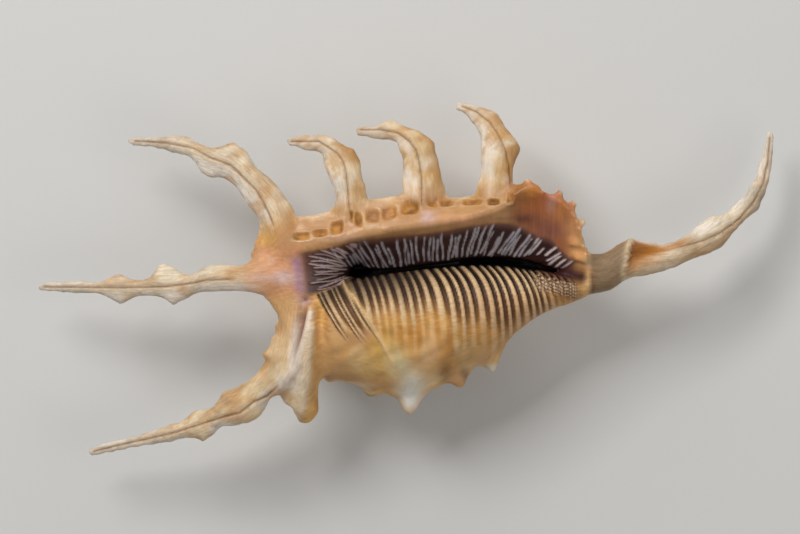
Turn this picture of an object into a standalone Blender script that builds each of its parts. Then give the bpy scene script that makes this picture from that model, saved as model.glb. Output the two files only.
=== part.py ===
"""Spider conch shell with seven long fingers, lying on its back with the opening up.

+X runs from the spire to the tip of the siphonal canal, +Y from the whorl's plain side to the
fingered lip, and +Z up, out of the opening. Sizes in this file are in millimetres.
"""

import bmesh
import bpy
import numpy as np

MM = 0.001

# Driving dimensions. The outlines below are drawn for these, about the body's middle.
BODY_TURN = (-6.0, 18.0)  # y and z of the line that the body whorl turns around
SLIT_HALF = 0.8  # half the width of the narrow opening
CAVITY = 2.6  # how far the hollow behind the slit spreads under the lip
LIP_SWELL = 1.1  # how far the lip's inner face is dished below a straight slope
WEAR = 0.9  # how much is worn off the knobs that the shell lies on
GROUND_SIZE = 400.0  # side of the block below the ground that cuts the worn flats

# Mesh fineness: stations along each form, and points around it.
CORE_STATIONS, CORE_ROUND = 40, 36
LIP_STATIONS, LIP_ROUND = 38, 26
FINGER_STEP, FINGER_ROUND = 2.2, 10
COIL_STATIONS, COIL_ROUND = 42, 10
SKIN_STEP = 0.5  # step of the grid that joins the forms into one skin
SOFTENING = 6  # rounds of smoothing where the forms meet
KEPT_SHARE = 0.06  # share of the skin's faces that is kept


def through(rows, at):
    """A smooth curve through rows of (place, value, value, ...), read at each place in at."""
    rows = np.array(rows, float)
    at = np.clip(np.atleast_1d(at), rows[0, 0], rows[-1, 0])
    place, value = rows[:, 0], rows[:, 1:]
    slope = np.gradient(value, place, axis=0)
    i = np.clip(np.searchsorted(place, at) - 1, 0, len(place) - 2)
    span = (place[i + 1] - place[i])[:, None]
    t = (at - place[i])[:, None] / span
    start = (2 * t**3 - 3 * t**2 + 1) * value[i] + (t**3 - 2 * t**2 + t) * span * slope[i]
    end = (3 * t**2 - 2 * t**3) * value[i + 1] + (t**3 - t**2) * span * slope[i + 1]
    return start + end


def outline(rows, at):
    """The single value of a two-column curve."""
    return through(rows, at)[:, 0]


# Outlines of the body, each as (x, value).
SLIT_Y = [(-12, 1.2), (-4, 1.8), (6, 3.1), (15, 3.9), (22, 3.8), (28, 2.9), (34, 1.8), (40, 1.0)]
CORE_Y = [(-22, -9), (-10, -9), (0, -8.5), (10, -7.5), (20, -5.5), (28, -3.2), (36, -1.4), (41, -0.8)]
LEFT_Y = [
    (-22, -17.5), (-18, -21.3), (-14, -21.8), (-10, -23), (-4, -24.4), (4, -24), (8, -22.6),
    (14.5, -18.8), (18, -16.8), (21, -13.8), (25, -10.3), (30, -7), (36, -4.8), (41, -2.6),
]
TOP_Z = [
    (-22, 29), (-16, 33), (-8, 34.2), (0, 34.5), (10, 34), (18, 32.5), (24, 31), (30, 29.3),
    (36, 27.5), (41, 26),
]
BACK_Z = [
    (-28, 21), (-24, 11), (-19, 5.2), (-10, 4), (0, 3.6), (8, 3.8), (14, 5.4),
    (20, 9), (26, 13), (32, 16.5), (41, 20.5),
]

# Outlines of the lip, each as (x, value).
INNER_Y = [(-28, 0.5), (-24, -3), (-20, -3.6), (-16, -2), (-12, 2.2)]
INNER_Z = [
    (-28, 29.6), (-24, 30.6), (-20, 29.4), (-16, 26.8), (-12, 24), (-6, 24.4), (6, 25.2),
    (24, 25), (32, 24.6), (40, 24),
]
CREST = [
    (-28, 6, 31), (-22, 7.6, 32.6), (-15, 9, 33.4), (-8, 10.4, 34), (0, 11.8, 34.4),
    (8, 13, 34.6), (16, 14.6, 34.6), (21, 16.4, 34.6), (25, 19.6, 34.8), (28, 19.8, 35), (31, 18.1, 35),
    (34, 16.2, 34.4), (36.5, 13.6, 33.4), (38, 9.5, 32), (39.2, 5, 30),
]
EDGE = [
    (-28, 9, 29.4), (-24, 13.2, 30), (-20, 13.8, 30), (-14, 15.6, 30), (-8, 17.2, 30),
    (-2, 18, 30), (4, 18.6, 30), (10, 17.7, 30), (14, 18, 30), (19, 19.6, 30.4), (23, 20.8, 31.6),
    (26.5, 21, 33.4), (30, 19, 34), (33, 18.2, 33.8), (35.5, 16.3, 33), (37, 14, 32), (38.2, 10, 31),
    (39.2, 6.6, 29.2),
]
FLANK_Y = [
    (-28, 6.5), (-24, 9.5), (-16, 12), (-8, 13.4), (0, 14), (10, 14), (18, 14.5), (24, 15), (28, 14.4),
    (32, 12.4), (36, 9.4), (40, 4.6),
]
ROOT_Y = [
    (-28, 1), (-24, -3.5), (-18, -8.5), (-10, -9), (0, -8.5), (10, -7.5), (20, -5.5), (28, -3),
    (34, -1.4), (40, -0.6),
]

# Spiral cords of the body whorl: x on its plain side, x where each ends at the lip, height, width.
CORDS = [
    (-19.5, -27.0, 2.0, 2.6),
    (-7.5, -12.2, 1.1, 2.0),
    (0.7, 3.6, 1.3, 2.4),
    (11.7, 11.5, 0.9, 1.8),
    (18.5, 19.2, 1.3, 2.0),
    (26.0, 29.0, 0.6, 1.5),
]
# Knobs on the cords: x, degrees round from the plain side under the back, height, radius.
KNOBS = [
    (0.7, -6, 3.4, 2.9),
    (11.7, 2, 2.6, 2.1),
    (18.6, 6, 3.0, 2.0),
    (-8.0, 0, 1.3, 2.2),
    (1.6, 44, 2.6, 3.0),
    (-9.5, 68, 1.2, 2.6),
    (-10.5, 128, 2.4, 2.6),
    (-23.5, 132, 3.0, 2.8),
    (18.8, 62, 2.2, 2.2),
    (19.2, 120, 2.2, 2.4),
]


def relief(points):
    """Raises the cords and knobs on the whorl's outer side, away from the line that it turns around."""
    x = points[..., 0]
    out = points[..., 1:] - BODY_TURN
    reach = np.linalg.norm(out, axis=-1)
    turn = np.degrees(np.arctan2(-out[..., 1], -out[..., 0]))  # 0 at -Y, 90 under the back, 180 at +Y
    turn = np.where(turn < -120, turn + 360, turn)
    way = np.clip(turn / 180, 0, 1)
    shown = np.clip((turn + 38) / 30, 0, 1) * np.clip((196 - turn) / 26, 0, 1)
    height = np.zeros_like(x)
    for left_x, lip_x, tall, wide in CORDS:
        middle = left_x + (lip_x - left_x) * way**1.5
        height += tall * np.exp(-(((x - middle) / wide) ** 2))
    for knob_x, knob_turn, tall, radius in KNOBS:
        across = np.radians(turn - knob_turn) * reach
        height += tall * np.exp(-(((x - knob_x) ** 2 + across**2) / radius**2))
    raised = points.copy()
    raised[..., 1:] += out / reach[..., None] * (height * shown)[..., None]
    return raised


def core_rings():
    """The body whorl's solid turn: rings across X, narrower on the side that faces the slit."""
    x = np.linspace(-21.5, 40.5, CORE_STATIONS)
    middle, top, back = outline(CORE_Y, x), outline(TOP_Z, x), outline(BACK_Z, x)
    shoulder = np.sqrt(np.clip((x + 21.9) / 5, 0.05, 1))  # rounds the end that meets the spire
    left = (middle - outline(LEFT_Y, x)) * shoulder
    right = (outline(SLIT_Y, x) - SLIT_HALF - middle) / 0.9 * shoulder
    tall = (top - back) / 2 * shoulder
    angle = np.linspace(0, 2 * np.pi, CORE_ROUND, endpoint=False)
    across, rise = np.cos(angle), np.sin(angle)
    wide = np.where(across > 0, right[:, None], left[:, None])
    y = middle[:, None] + across * wide
    z = ((top + back) / 2)[:, None] + rise * tall[:, None]
    return np.stack([np.broadcast_to(x[:, None], y.shape), y, z], axis=-1)


def lip_rings():
    """The outer lip: from deep in the body, up the hollow's wall, over the crest and round the back."""
    x = np.linspace(-28, 39.2, LIP_STATIONS)
    slit = outline(SLIT_Y, x) + SLIT_HALF + 0.1
    inner_y = np.where(x < -12, outline(INNER_Y, x), slit)
    inner_z = outline(INNER_Z, x)
    crest_y, crest_z = through(CREST, x).T
    edge_y, edge_z = through(EDGE, x).T
    flank_y, back, core_y = outline(FLANK_Y, x), outline(BACK_Z, x), outline(ROOT_Y, x)
    open_share = np.clip((x + 14) / 6, 0, 1) * np.clip((41 - x) / 8, 0, 1)  # 1 where the slit is deep
    thin = np.clip((x - 20) / 6, 0, 1)  # 1 on the thin wing at the canal's end
    depth = inner_z - back
    under = back + depth / 2
    profile = [
        (inner_y, inner_z),
        (inner_y + 0.3 * (crest_y - inner_y), inner_z + 0.36 * (crest_z - inner_z) - 0.5 * LIP_SWELL),
        (inner_y + 0.72 * (crest_y - inner_y), inner_z + 0.8 * (crest_z - inner_z) - LIP_SWELL),
        (crest_y - 0.4, crest_z - 0.15),
        (crest_y + 0.45 * (edge_y - crest_y), 0.5 * (crest_z + edge_z) + 0.4),
        (edge_y - 0.3, edge_z + 0.5),
        (edge_y, edge_z - 0.5),
        (edge_y - 2.0 + thin, edge_z - 3.4 + thin),
        (flank_y + 1.2, (edge_z + under) / 2 + 2 * thin),
        (flank_y, under - 0.05 * depth),
        (0.5 * (flank_y + core_y) + 3.2, back + 0.06 * depth),
        (core_y + 2, back),
        (core_y, under - 0.1 * depth),
        (inner_y - 2 + open_share * (CAVITY - 1), inner_z - 0.45 * depth),
        (inner_y + open_share * CAVITY, inner_z - 0.23 * depth),
        (inner_y + 0.4 * open_share, inner_z - 0.055 * depth),
    ]
    place = np.linspace(0, 1, len(profile) + 1)
    rings = []
    for n in range(len(x)):
        loop = [(y[n], z[n]) for y, z in profile]
        loop.append(loop[0])
        rows = [(s, *yz) for s, yz in zip(place, loop)]
        at = np.linspace(0, 1, LIP_ROUND, endpoint=False)
        rings.append(np.column_stack([np.full(LIP_ROUND, x[n]), through(rows, at)]))
    return np.array(rings)


def finger_rings(rows):
    """A finger from rows of (x, y, z, left half-width, right half-width, half-thickness), root first."""
    rows = np.array(rows, float)
    length = np.concatenate([[0], np.cumsum(np.linalg.norm(np.diff(rows[:, :3], axis=0), axis=1))])
    at = np.linspace(0, length[-1], max(6, int(length[-1] / FINGER_STEP)))
    values = through(np.column_stack([length, rows]), at)
    centre, left, right, thick = values[:, :3], values[:, 3:4], values[:, 4:5], values[:, 5:6]
    along = np.gradient(centre, axis=0)
    along /= np.linalg.norm(along, axis=1)[:, None]
    side = np.cross([0, 0, 1], along)
    side /= np.linalg.norm(side, axis=1)[:, None]
    up = np.cross(along, side)
    angle = np.linspace(0, 2 * np.pi, FINGER_ROUND, endpoint=False)
    across = np.where(np.cos(angle) > 0, left, right) * np.cos(angle)
    rise = thick * np.sin(angle)
    return centre[:, None] + across[..., None] * side[:, None] + rise[..., None] * up[:, None]


GROWTHS = {
    "first_finger": [
        (18.8, 13.5, 29.5, 5.0, 4.6, 3.6), (19.0, 18.0, 29.6, 4.2, 4.0, 3.2),
        (19.3, 21.5, 29.2, 3.6, 3.6, 2.9),
        (19.8, 25.0, 28.4, 3.6, 3.3, 2.8), (20.2, 28.3, 27.2, 4.0, 4.2, 2.6),
        (19.2, 31.5, 25.6, 3.4, 3.4, 2.4),
        (17.3, 34.3, 23.8, 2.7, 2.9, 2.0), (14.6, 36.3, 22.0, 1.5, 1.5, 1.4),
        (12.3, 37.4, 20.8, 1.0, 1.0, 0.9),
        (11.1, 37.8, 20.2, 0.6, 0.6, 0.5),
    ],
    "second_finger": [
        (3.6, 12.5, 29.2, 5.6, 5.6, 3.6), (3.6, 17.5, 29.2, 4.9, 4.9, 3.2),
        (3.5, 20.5, 28.8, 4.2, 4.5, 2.9),
        (3.3, 24.0, 28.0, 3.9, 3.9, 2.8), (2.9, 27.0, 27.0, 3.8, 3.5, 2.7),
        (1.7, 29.8, 25.8, 3.5, 3.6, 2.5),
        (-0.8, 31.6, 24.4, 2.1, 2.0, 2.1), (-3.5, 32.3, 23.0, 2.1, 2.2, 1.8),
        (-6.5, 32.1, 21.8, 1.7, 1.3, 1.4),
        (-9.5, 32.4, 20.8, 1.15, 1.0, 1.0), (-11.0, 32.5, 20.3, 0.7, 0.7, 0.6),
    ],
    "third_finger": [
        (-11.6, 10.0, 29.0, 4.8, 4.8, 3.6), (-12.1, 14.5, 29.0, 3.9, 4.3, 3.2),
        (-12.2, 18.5, 28.6, 3.25, 3.4, 2.9),
        (-13.0, 22.0, 27.8, 3.5, 3.5, 2.8), (-13.9, 25.0, 26.8, 3.8, 3.9, 2.7),
        (-15.3, 27.6, 25.6, 3.0, 3.1, 2.4),
        (-17.6, 29.4, 24.2, 2.1, 2.0, 2.0), (-20.5, 29.8, 22.8, 1.8, 1.6, 1.6),
        (-23.5, 30.1, 21.6, 1.2, 1.2, 1.1),
        (-25.7, 29.9, 20.8, 0.6, 0.6, 0.5),
    ],
    "fourth_finger": [
        (-25.5, 7.0, 28.5, 5.0, 5.0, 3.4), (-27.3, 11.5, 28.6, 3.8, 4.2, 3.2),
        (-29.0, 15.5, 28.2, 3.7, 3.8, 3.0),
        (-31.7, 19.0, 27.6, 3.8, 3.8, 2.9), (-34.4, 22.1, 26.8, 3.2, 3.1, 2.7),
        (-38.4, 25.3, 25.4, 3.6, 4.4, 2.5),
        (-42.5, 26.6, 24.2, 3.9, 2.1, 2.2), (-45.8, 28.0, 23.0, 1.8, 1.9, 2.0),
        (-49.0, 29.3, 21.8, 1.8, 1.9, 1.7),
        (-54.0, 29.9, 19.8, 1.25, 1.2, 1.2), (-59.8, 30.2, 17.6, 0.75, 0.75, 0.7),
    ],
    "fifth_finger": [
        (-26.0, 2.0, 28.5, 5.0, 5.5, 3.4), (-31.0, 0.9, 28.6, 4.2, 4.5, 3.0),
        (-35.0, 0.4, 28.2, 2.9, 2.9, 2.7),
        (-40.0, 0.4, 27.4, 2.9, 3.1, 2.6), (-43.0, 0.1, 26.8, 2.8, 2.9, 2.5),
        (-45.8, -0.6, 26.2, 2.3, 1.9, 2.2),
        (-48.5, -1.2, 25.6, 3.2, 3.0, 2.2), (-50.0, -1.3, 25.2, 3.7, 4.1, 2.2),
        (-52.7, -1.3, 24.6, 2.6, 4.7, 2.2),
        (-55.5, -1.5, 23.8, 2.0, 2.0, 1.9), (-58.5, -1.7, 23.0, 1.9, 1.8, 1.8),
        (-61.8, -1.9, 22.0, 3.1, 3.0, 1.9),
        (-64.0, -1.8, 21.4, 2.3, 2.7, 1.8), (-66.0, -1.7, 20.8, 1.5, 1.5, 1.4),
        (-72.0, -1.6, 18.8, 1.2, 1.3, 1.1),
        (-77.0, -1.4, 17.0, 1.1, 1.1, 0.9), (-80.0, -1.9, 16.0, 0.6, 0.6, 0.5),
    ],
    "sixth_finger": [
        (-25.0, -2.0, 28.6, 3.0, 3.5, 3.0), (-25.3, -7.0, 28.4, 3.0, 2.2, 2.8),
        (-25.6, -11.0, 28.0, 3.0, 2.6, 2.8),
        (-26.2, -15.0, 27.4, 3.4, 3.6, 3.0), (-28.2, -19.8, 26.4, 4.6, 3.2, 3.0),
        (-31.5, -23.3, 25.6, 3.2, 3.0, 2.9),
        (-34.7, -26.5, 24.8, 4.3, 3.8, 2.7), (-37.5, -27.9, 24.0, 3.7, 4.1, 2.5),
        (-41.0, -29.8, 23.0, 2.3, 2.6, 2.3),
        (-44.5, -31.3, 22.0, 3.4, 3.1, 2.2), (-47.5, -32.1, 21.2, 2.2, 2.1, 2.0),
        (-52.0, -33.4, 20.0, 1.9, 1.8, 1.7),
        (-58.0, -34.9, 18.2, 1.3, 1.3, 1.2), (-64.0, -36.2, 16.4, 1.15, 1.15, 1.0),
        (-68.5, -37.6, 15.1, 0.8, 0.8, 0.7),
    ],
    "siphonal_canal": [
        (34.0, 0.5, 22.5, 3.5, 3.5, 3.4), (39.0, 1.4, 22.8, 4.4, 4.2, 3.6),
        (42.5, 1.6, 23.0, 4.2, 4.2, 3.4),
        (45.5, 3.0, 23.0, 3.9, 3.5, 3.2), (48.5, 4.6, 22.8, 4.2, 4.2, 3.1),
        (52.0, 5.0, 22.4, 3.4, 4.0, 2.9),
        (56.5, 5.4, 21.6, 2.6, 3.1, 2.6), (61.0, 7.0, 20.6, 2.6, 2.7, 2.4),
        (66.6, 10.1, 19.2, 3.5, 3.5, 2.2),
        (70.3, 12.8, 18.0, 2.1, 2.1, 1.9), (74.2, 16.4, 16.6, 2.1, 2.2, 1.8),
        (76.4, 19.3, 15.6, 1.6, 1.8, 1.6),
        (78.1, 24.5, 13.8, 1.3, 1.45, 1.3), (79.1, 29.0, 12.4, 1.05, 1.0, 1.0),
        (79.4, 32.0, 11.6, 0.7, 0.7, 0.6),
    ],
    "shoulder_knob": [
        (-20.3, -5.0, 29.6, 1.6, 1.6, 2.6), (-21.2, -12.0, 29.4, 2.4, 2.4, 3.4),
        (-21.8, -19.0, 26.6, 3.2, 3.4, 4.2),
        (-22.0, -24.0, 24.0, 3.0, 3.2, 3.6), (-22.0, -28.2, 22.0, 2.5, 2.6, 2.8),
        (-22.0, -30.8, 20.8, 1.2, 1.3, 1.4),
    ],
    "parietal_rib": [
        (-20.6, -5.0, 31.2, 0.9, 0.9, 1.4), (-22.2, -12.0, 30.8, 1.5, 1.4, 1.8),
        (-24.6, -18.5, 28.6, 2.2, 2.0, 2.4),
        (-29.0, -23.4, 25.8, 2.4, 2.4, 2.4),
    ],
    # The web between the hind flange and the shoulder knob, and the plate behind the opening.
    "shoulder_web": [
        (-22.6, -7.0, 27.8, 2.0, 2.0, 2.4), (-23.4, -14.0, 27.4, 2.3, 2.3, 2.8),
        (-24.2, -19.5, 26.0, 3.0, 3.0, 3.2), (-24.6, -23.5, 24.4, 3.2, 3.2, 2.8),
        (-24.2, -26.6, 23.0, 1.8, 2.2, 2.2),
    ],
    "hind_fillet": [
        (-32.6, -0.6, 28.3, 1.5, 1.5, 1.6), (-30.4, -2.4, 28.4, 2.0, 1.7, 1.7),
        (-28.4, -4.6, 28.4, 2.2, 1.9, 1.8), (-26.6, -7.6, 28.3, 2.0, 1.6, 1.6),
    ],
    "hind_plate": [
        (-29.8, 12.5, 28.4, 1.8, 1.6, 1.6), (-30.6, 8.5, 28.5, 2.3, 1.8, 1.5),
        (-31.0, 5.0, 28.5, 2.3, 2.2, 1.5), (-31.5, 1.5, 28.4, 2.0, 2.0, 1.5),
    ],
    # The three knobs of the back that the shell lies on, drawn past the ground and worn flat by it.
    "plain_side_knob": [
        (11.3, -10.8, 11.0, 6.8, 6.8, 6.8), (11.3, -13.3, 6.5, 5.6, 5.6, 5.6),
        (11.3, -15.0, 3.2, 4.0, 4.0, 4.0),
        (11.3, -15.9, 0.4, 2.3, 2.3, 2.3), (11.3, -16.2, -1.0, 1.6, 1.6, 1.6),
    ],
    "spire_side_knob": [
        (-14.6, -4.4, 11.0, 7.4, 7.4, 7.4), (-15.2, -4.6, 6.5, 6.0, 6.0, 6.0),
        (-15.7, -4.7, 3.2, 4.2, 4.2, 4.2),
        (-16.0, -4.8, 0.4, 2.3, 2.3, 2.3), (-16.2, -4.8, -1.0, 1.6, 1.6, 1.6),
    ],
    "lip_side_knob": [
        (3.6, 3.0, 11.0, 7.2, 7.2, 7.2), (3.8, 5.3, 6.5, 5.9, 5.9, 5.9), (4.0, 6.8, 3.2, 4.1, 4.1, 4.1),
        (4.0, 7.5, 0.4, 2.3, 2.3, 2.3), (4.0, 7.8, -1.0, 1.6, 1.6, 1.6),
    ],
}


def coil_rings():
    """The spire: a tube that coils out from the apex and widens by the same share each turn."""
    turns, widening = 3.1, 1.7
    turn = np.linspace(0, turns, COIL_STATIONS)
    size = widening ** (turn - turns)
    angle = 2 * np.pi * (turn - turns) + np.radians(150)
    tube_radius, coil_radius = 7.4, 6.3  # at full size
    knobs_a_turn, knob_share = 11, 0.1
    apex = np.array([-30.8, -0.2, 17.5])
    drop = np.array([15.5, -5.5, 0.5])  # from the apex to the middle of the last turn
    out = np.column_stack([np.zeros_like(angle), -np.sin(angle), np.cos(angle)])
    centre = apex + size[:, None] * (drop + coil_radius * out)
    along = np.gradient(centre, axis=0)
    along /= np.linalg.norm(along, axis=1)[:, None]
    side = np.cross(along, out)
    side /= np.linalg.norm(side, axis=1)[:, None]
    rise = np.cross(side, along)
    spin = np.linspace(0, 2 * np.pi, COIL_ROUND, endpoint=False)
    knobbed = 1 + knob_share * np.cos(knobs_a_turn * angle)[:, None] * np.clip(np.sin(spin), 0, 1)
    radius = tube_radius * size[:, None] * knobbed
    across = radius * np.cos(spin)
    tall = radius * np.sin(spin)
    return centre[:, None] + across[..., None] * side[:, None] + tall[..., None] * rise[:, None]


def add_solid(mesh, rings):
    """Adds one closed form to the mesh from a stack of rings, with a fan over each end."""
    rings = (rings - [0, 0, WEAR]) * MM
    loops = [[mesh.verts.new(point) for point in ring] for ring in rings]
    faces = []
    for first, second in zip(loops, loops[1:]):
        for n in range(len(first)):
            after = (n + 1) % len(first)
            faces.append(mesh.faces.new((first[n], first[after], second[after], second[n])))
    for loop, ring in ((loops[0], rings[0]), (loops[-1], rings[-1])):
        tip = mesh.verts.new(ring.mean(axis=0))
        for n in range(len(loop)):
            faces.append(mesh.faces.new((loop[n], loop[(n + 1) % len(loop)], tip)))
    bmesh.ops.recalc_face_normals(mesh, faces=faces)


def shell_finish():
    """Pale glossy lime with a warm tint."""
    finish = bpy.data.materials.new("shell")
    finish.use_nodes = True
    surface = finish.node_tree.nodes["Principled BSDF"]
    surface.inputs["Base Color"].default_value = (0.72, 0.56, 0.38, 1)
    surface.inputs["Roughness"].default_value = 0.4
    surface.inputs["Metallic"].default_value = 0
    return finish


def linked(name, mesh):
    """A new object in the scene that holds the mesh."""
    data = bpy.data.meshes.new(name)
    mesh.to_mesh(data)
    mesh.free()
    made = bpy.data.objects.new(name, data)
    bpy.context.scene.collection.objects.link(made)
    return made


def main():
    for old in list(bpy.data.objects):
        bpy.data.objects.remove(old)
    forms = [relief(core_rings()), relief(lip_rings()), coil_rings()]
    forms += [finger_rings(rows) for rows in GROWTHS.values()]
    grown = bmesh.new()
    for rings in forms:
        add_solid(grown, rings)
    shell = linked("shell", grown)
    shell.data.materials.append(shell_finish())

    skin = shell.modifiers.new("one_skin", "REMESH")
    skin.mode = "VOXEL"
    skin.voxel_size = SKIN_STEP * MM
    soften = shell.modifiers.new("soft_joints", "SMOOTH")
    soften.factor = 0.5
    soften.iterations = SOFTENING
    thin_out = shell.modifiers.new("fewer_faces", "DECIMATE")
    thin_out.ratio = KEPT_SHARE
    ground = bmesh.new()
    bmesh.ops.create_cube(ground, size=GROUND_SIZE * MM)
    bmesh.ops.translate(ground, verts=ground.verts, vec=(0, 0, -GROUND_SIZE / 2 * MM))
    floor = linked("worn_plane", ground)
    floor.hide_render = True
    floor.display_type = "WIRE"
    worn = shell.modifiers.new("worn_flats", "BOOLEAN")
    worn.operation = "DIFFERENCE"
    worn.solver = "EXACT"
    worn.object = floor


main()
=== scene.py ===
"""A spider conch lying on its back, its ribbed opening up: one grown piece of layered lime.

+X runs from the spire to the canal's tip, +Y from the whorl's plain side to the fingered lip, and
+Z up, out of the opening. Sizes are in millimetres, and MM turns them into metres.
"""

import bmesh
import bpy
import numpy as np
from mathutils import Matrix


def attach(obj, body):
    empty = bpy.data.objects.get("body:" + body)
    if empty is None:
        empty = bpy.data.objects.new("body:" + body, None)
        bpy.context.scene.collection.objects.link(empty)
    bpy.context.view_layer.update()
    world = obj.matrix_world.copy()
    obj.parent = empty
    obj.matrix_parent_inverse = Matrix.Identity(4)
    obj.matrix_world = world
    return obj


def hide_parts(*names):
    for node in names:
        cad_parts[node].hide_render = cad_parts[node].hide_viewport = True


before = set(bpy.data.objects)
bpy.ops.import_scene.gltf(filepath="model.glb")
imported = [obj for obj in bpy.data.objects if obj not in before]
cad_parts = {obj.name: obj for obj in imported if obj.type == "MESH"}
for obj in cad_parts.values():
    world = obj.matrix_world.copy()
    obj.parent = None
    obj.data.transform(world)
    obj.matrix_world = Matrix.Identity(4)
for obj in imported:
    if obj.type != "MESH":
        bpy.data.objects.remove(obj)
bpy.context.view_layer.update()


# --- Body whorl -------------------------------------------------------------------------------
# The last and widest turn of the coil, grown from lime at the mantle's edge. It is a barrel that
# narrows to the canal, with blunt spiral cords that swell into knobs over its plain side and back.
MM = 0.001
WEAR = 0.9  # how much is worn off the knobs that the shell lies on
BODY_TURN = (-6.0, 18.0)  # y and z of the line that the whorl turns around


def through(rows, at):
    """A smooth curve through rows of (place, value, value, ...), read at each place in at."""
    rows = np.array(rows, float)
    at = np.clip(np.atleast_1d(at), rows[0, 0], rows[-1, 0])
    place, value = rows[:, 0], rows[:, 1:]
    slope = np.gradient(value, place, axis=0)
    i = np.clip(np.searchsorted(place, at) - 1, 0, len(place) - 2)
    span = (place[i + 1] - place[i])[:, None]
    t = (at - place[i])[:, None] / span
    start = (2 * t**3 - 3 * t**2 + 1) * value[i] + (t**3 - 2 * t**2 + t) * span * slope[i]
    end = (3 * t**2 - 2 * t**3) * value[i + 1] + (t**3 - t**2) * span * slope[i + 1]
    return start + end


def outline(rows, at):
    """The single value of a two-column curve."""
    return through(rows, at)[:, 0]


def ease(start, end, value):
    """0 before start, 1 after end, and a smooth rise between them. It falls where end is the lower."""
    t = np.clip((value - start) / (end - start), 0, 1)
    return t * t * (3 - 2 * t)


# Outlines of the whorl, each as (x, value).
SLIT_Y = [
    (-12, 1.2), (-4, 1.8), (6, 3.0), (15, 3.9), (22, 3.7), (28, 2.7), (34, 1.2), (40, 0.2),
]
SLIT_HALF = [
    (-12, 1.1), (-8, 0.8), (-4, 0.5), (8, 0.5), (14, 0.7), (20, 0.85), (27, 0.9), (31, 0.6), (34, 0.4),
    (38, 0.35),
]
CORE_Y = [
    (-22, -9), (-10, -9), (0, -8.5), (10, -7.5), (20, -5.5), (28, -3.2), (36, -1.4), (41, -0.8),
]
LEFT_Y = [
    (-22, -17.5), (-18, -21.3), (-14, -21.8), (-10, -22.6), (-4, -24.2), (4, -24), (8, -22.4),
    (14.5, -18.8), (18, -16.8), (21, -13.8), (25, -10.3), (30, -7), (36, -4.8), (41, -2.6),
]
TOP_Z = [
    (-22, 29), (-16, 33), (-8, 34.2), (0, 34.5), (10, 34), (18, 32.5), (24, 31), (30, 29.3),
    (36, 27.5), (41, 26),
]
BACK_Z = [
    (-28, 21), (-24, 11), (-19, 5.2), (-10, 4), (0, 3.6), (8, 3.8), (14, 5.4), (20, 9), (26, 13),
    (32, 16.5), (41, 20.5),
]
# Spiral cords: x on the plain side, x where each ends at the lip, height, width.
CORDS = [
    (-19.5, -27.0, 2.0, 2.6),
    (-13.5, -19.5, 0.5, 1.2),
    (-7.5, -12.2, 1.1, 2.0),
    (-3.4, -4.0, 0.4, 1.0),
    (0.7, 3.6, 1.3, 2.4),
    (6.6, 7.4, 0.4, 1.1),
    (11.7, 11.5, 0.9, 1.8),
    (18.5, 19.2, 1.3, 2.0),
    (22.4, 24.0, 0.35, 1.0),
    (26.0, 29.0, 0.6, 1.5),
]
# Knobs on the cords: x, degrees round from the plain side under the back, height, radius.
KNOBS = [
    (0.7, -6, 3.6, 2.7), (11.9, 2, 2.6, 2.0), (19.2, 4, 3.2, 2.0), (-8.0, 0, 1.3, 2.2),
    (1.6, 44, 2.6, 3.0), (-9.5, 68, 1.2, 2.6), (-10.5, 128, 2.4, 2.6), (-23.5, 132, 3.0, 2.8),
    (18.8, 62, 2.2, 2.2), (19.2, 120, 2.2, 2.4),
]


def relief(points):
    """Raises the cords and knobs on the whorl's outer side, away from the line that it turns around."""
    x = points[..., 0]
    out = points[..., 1:] - BODY_TURN
    reach = np.linalg.norm(out, axis=-1)
    turn = np.degrees(np.arctan2(-out[..., 1], -out[..., 0]))  # 0 at -Y, 90 under the back, 180 at +Y
    turn = np.where(turn < -120, turn + 360, turn)
    way = np.clip(turn / 180, 0, 1)
    # The relief fades out at both ends of the turn, before it reaches the opening.
    shown = np.clip((turn + 38) / 30, 0, 1) * np.clip((196 - turn) / 26, 0, 1)
    height = np.zeros_like(x)
    for left_x, lip_x, tall, wide in CORDS:
        middle = left_x + (lip_x - left_x) * way**1.5
        height += tall * np.exp(-(((x - middle) / wide) ** 2))
    for knob_x, knob_turn, tall, radius in KNOBS:
        across = np.radians(turn - knob_turn) * reach
        height += tall * np.exp(-(((x - knob_x) ** 2 + across**2) / radius**2))
    raised = points.copy()
    raised[..., 1:] += out / reach[..., None] * (height * shown)[..., None]
    return raised


CORE_SPAN = (-21.5, 40.5)  # x of the whorl's first and last ring
CORE_END = -21.9  # x at which its rounded end would close
CORE_ROUNDING = 5  # how far along X the end takes to reach its full width


def core_rings(stations=110, around=120):
    """The whorl's solid turn: rings across X, narrower on the side that faces the opening."""
    x = np.linspace(*CORE_SPAN, stations)
    middle, top, back = outline(CORE_Y, x), outline(TOP_Z, x), outline(BACK_Z, x)
    shoulder = np.sqrt(np.clip((x - CORE_END) / CORE_ROUNDING, 0.05, 1))
    left = (middle - outline(LEFT_Y, x)) * shoulder
    right = (outline(SLIT_Y, x) - outline(SLIT_HALF, x) - middle) / 0.9 * shoulder
    tall = (top - back) / 2 * shoulder
    angle = np.linspace(0, 2 * np.pi, around, endpoint=False)
    wide = np.where(np.cos(angle) > 0, right[:, None], left[:, None])
    y = middle[:, None] + np.cos(angle) * wide
    z = ((top + back) / 2)[:, None] + np.sin(angle) * tall[:, None]
    return np.stack([np.broadcast_to(x[:, None], y.shape), y, z], axis=-1)


forms = [relief(core_rings())]


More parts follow.
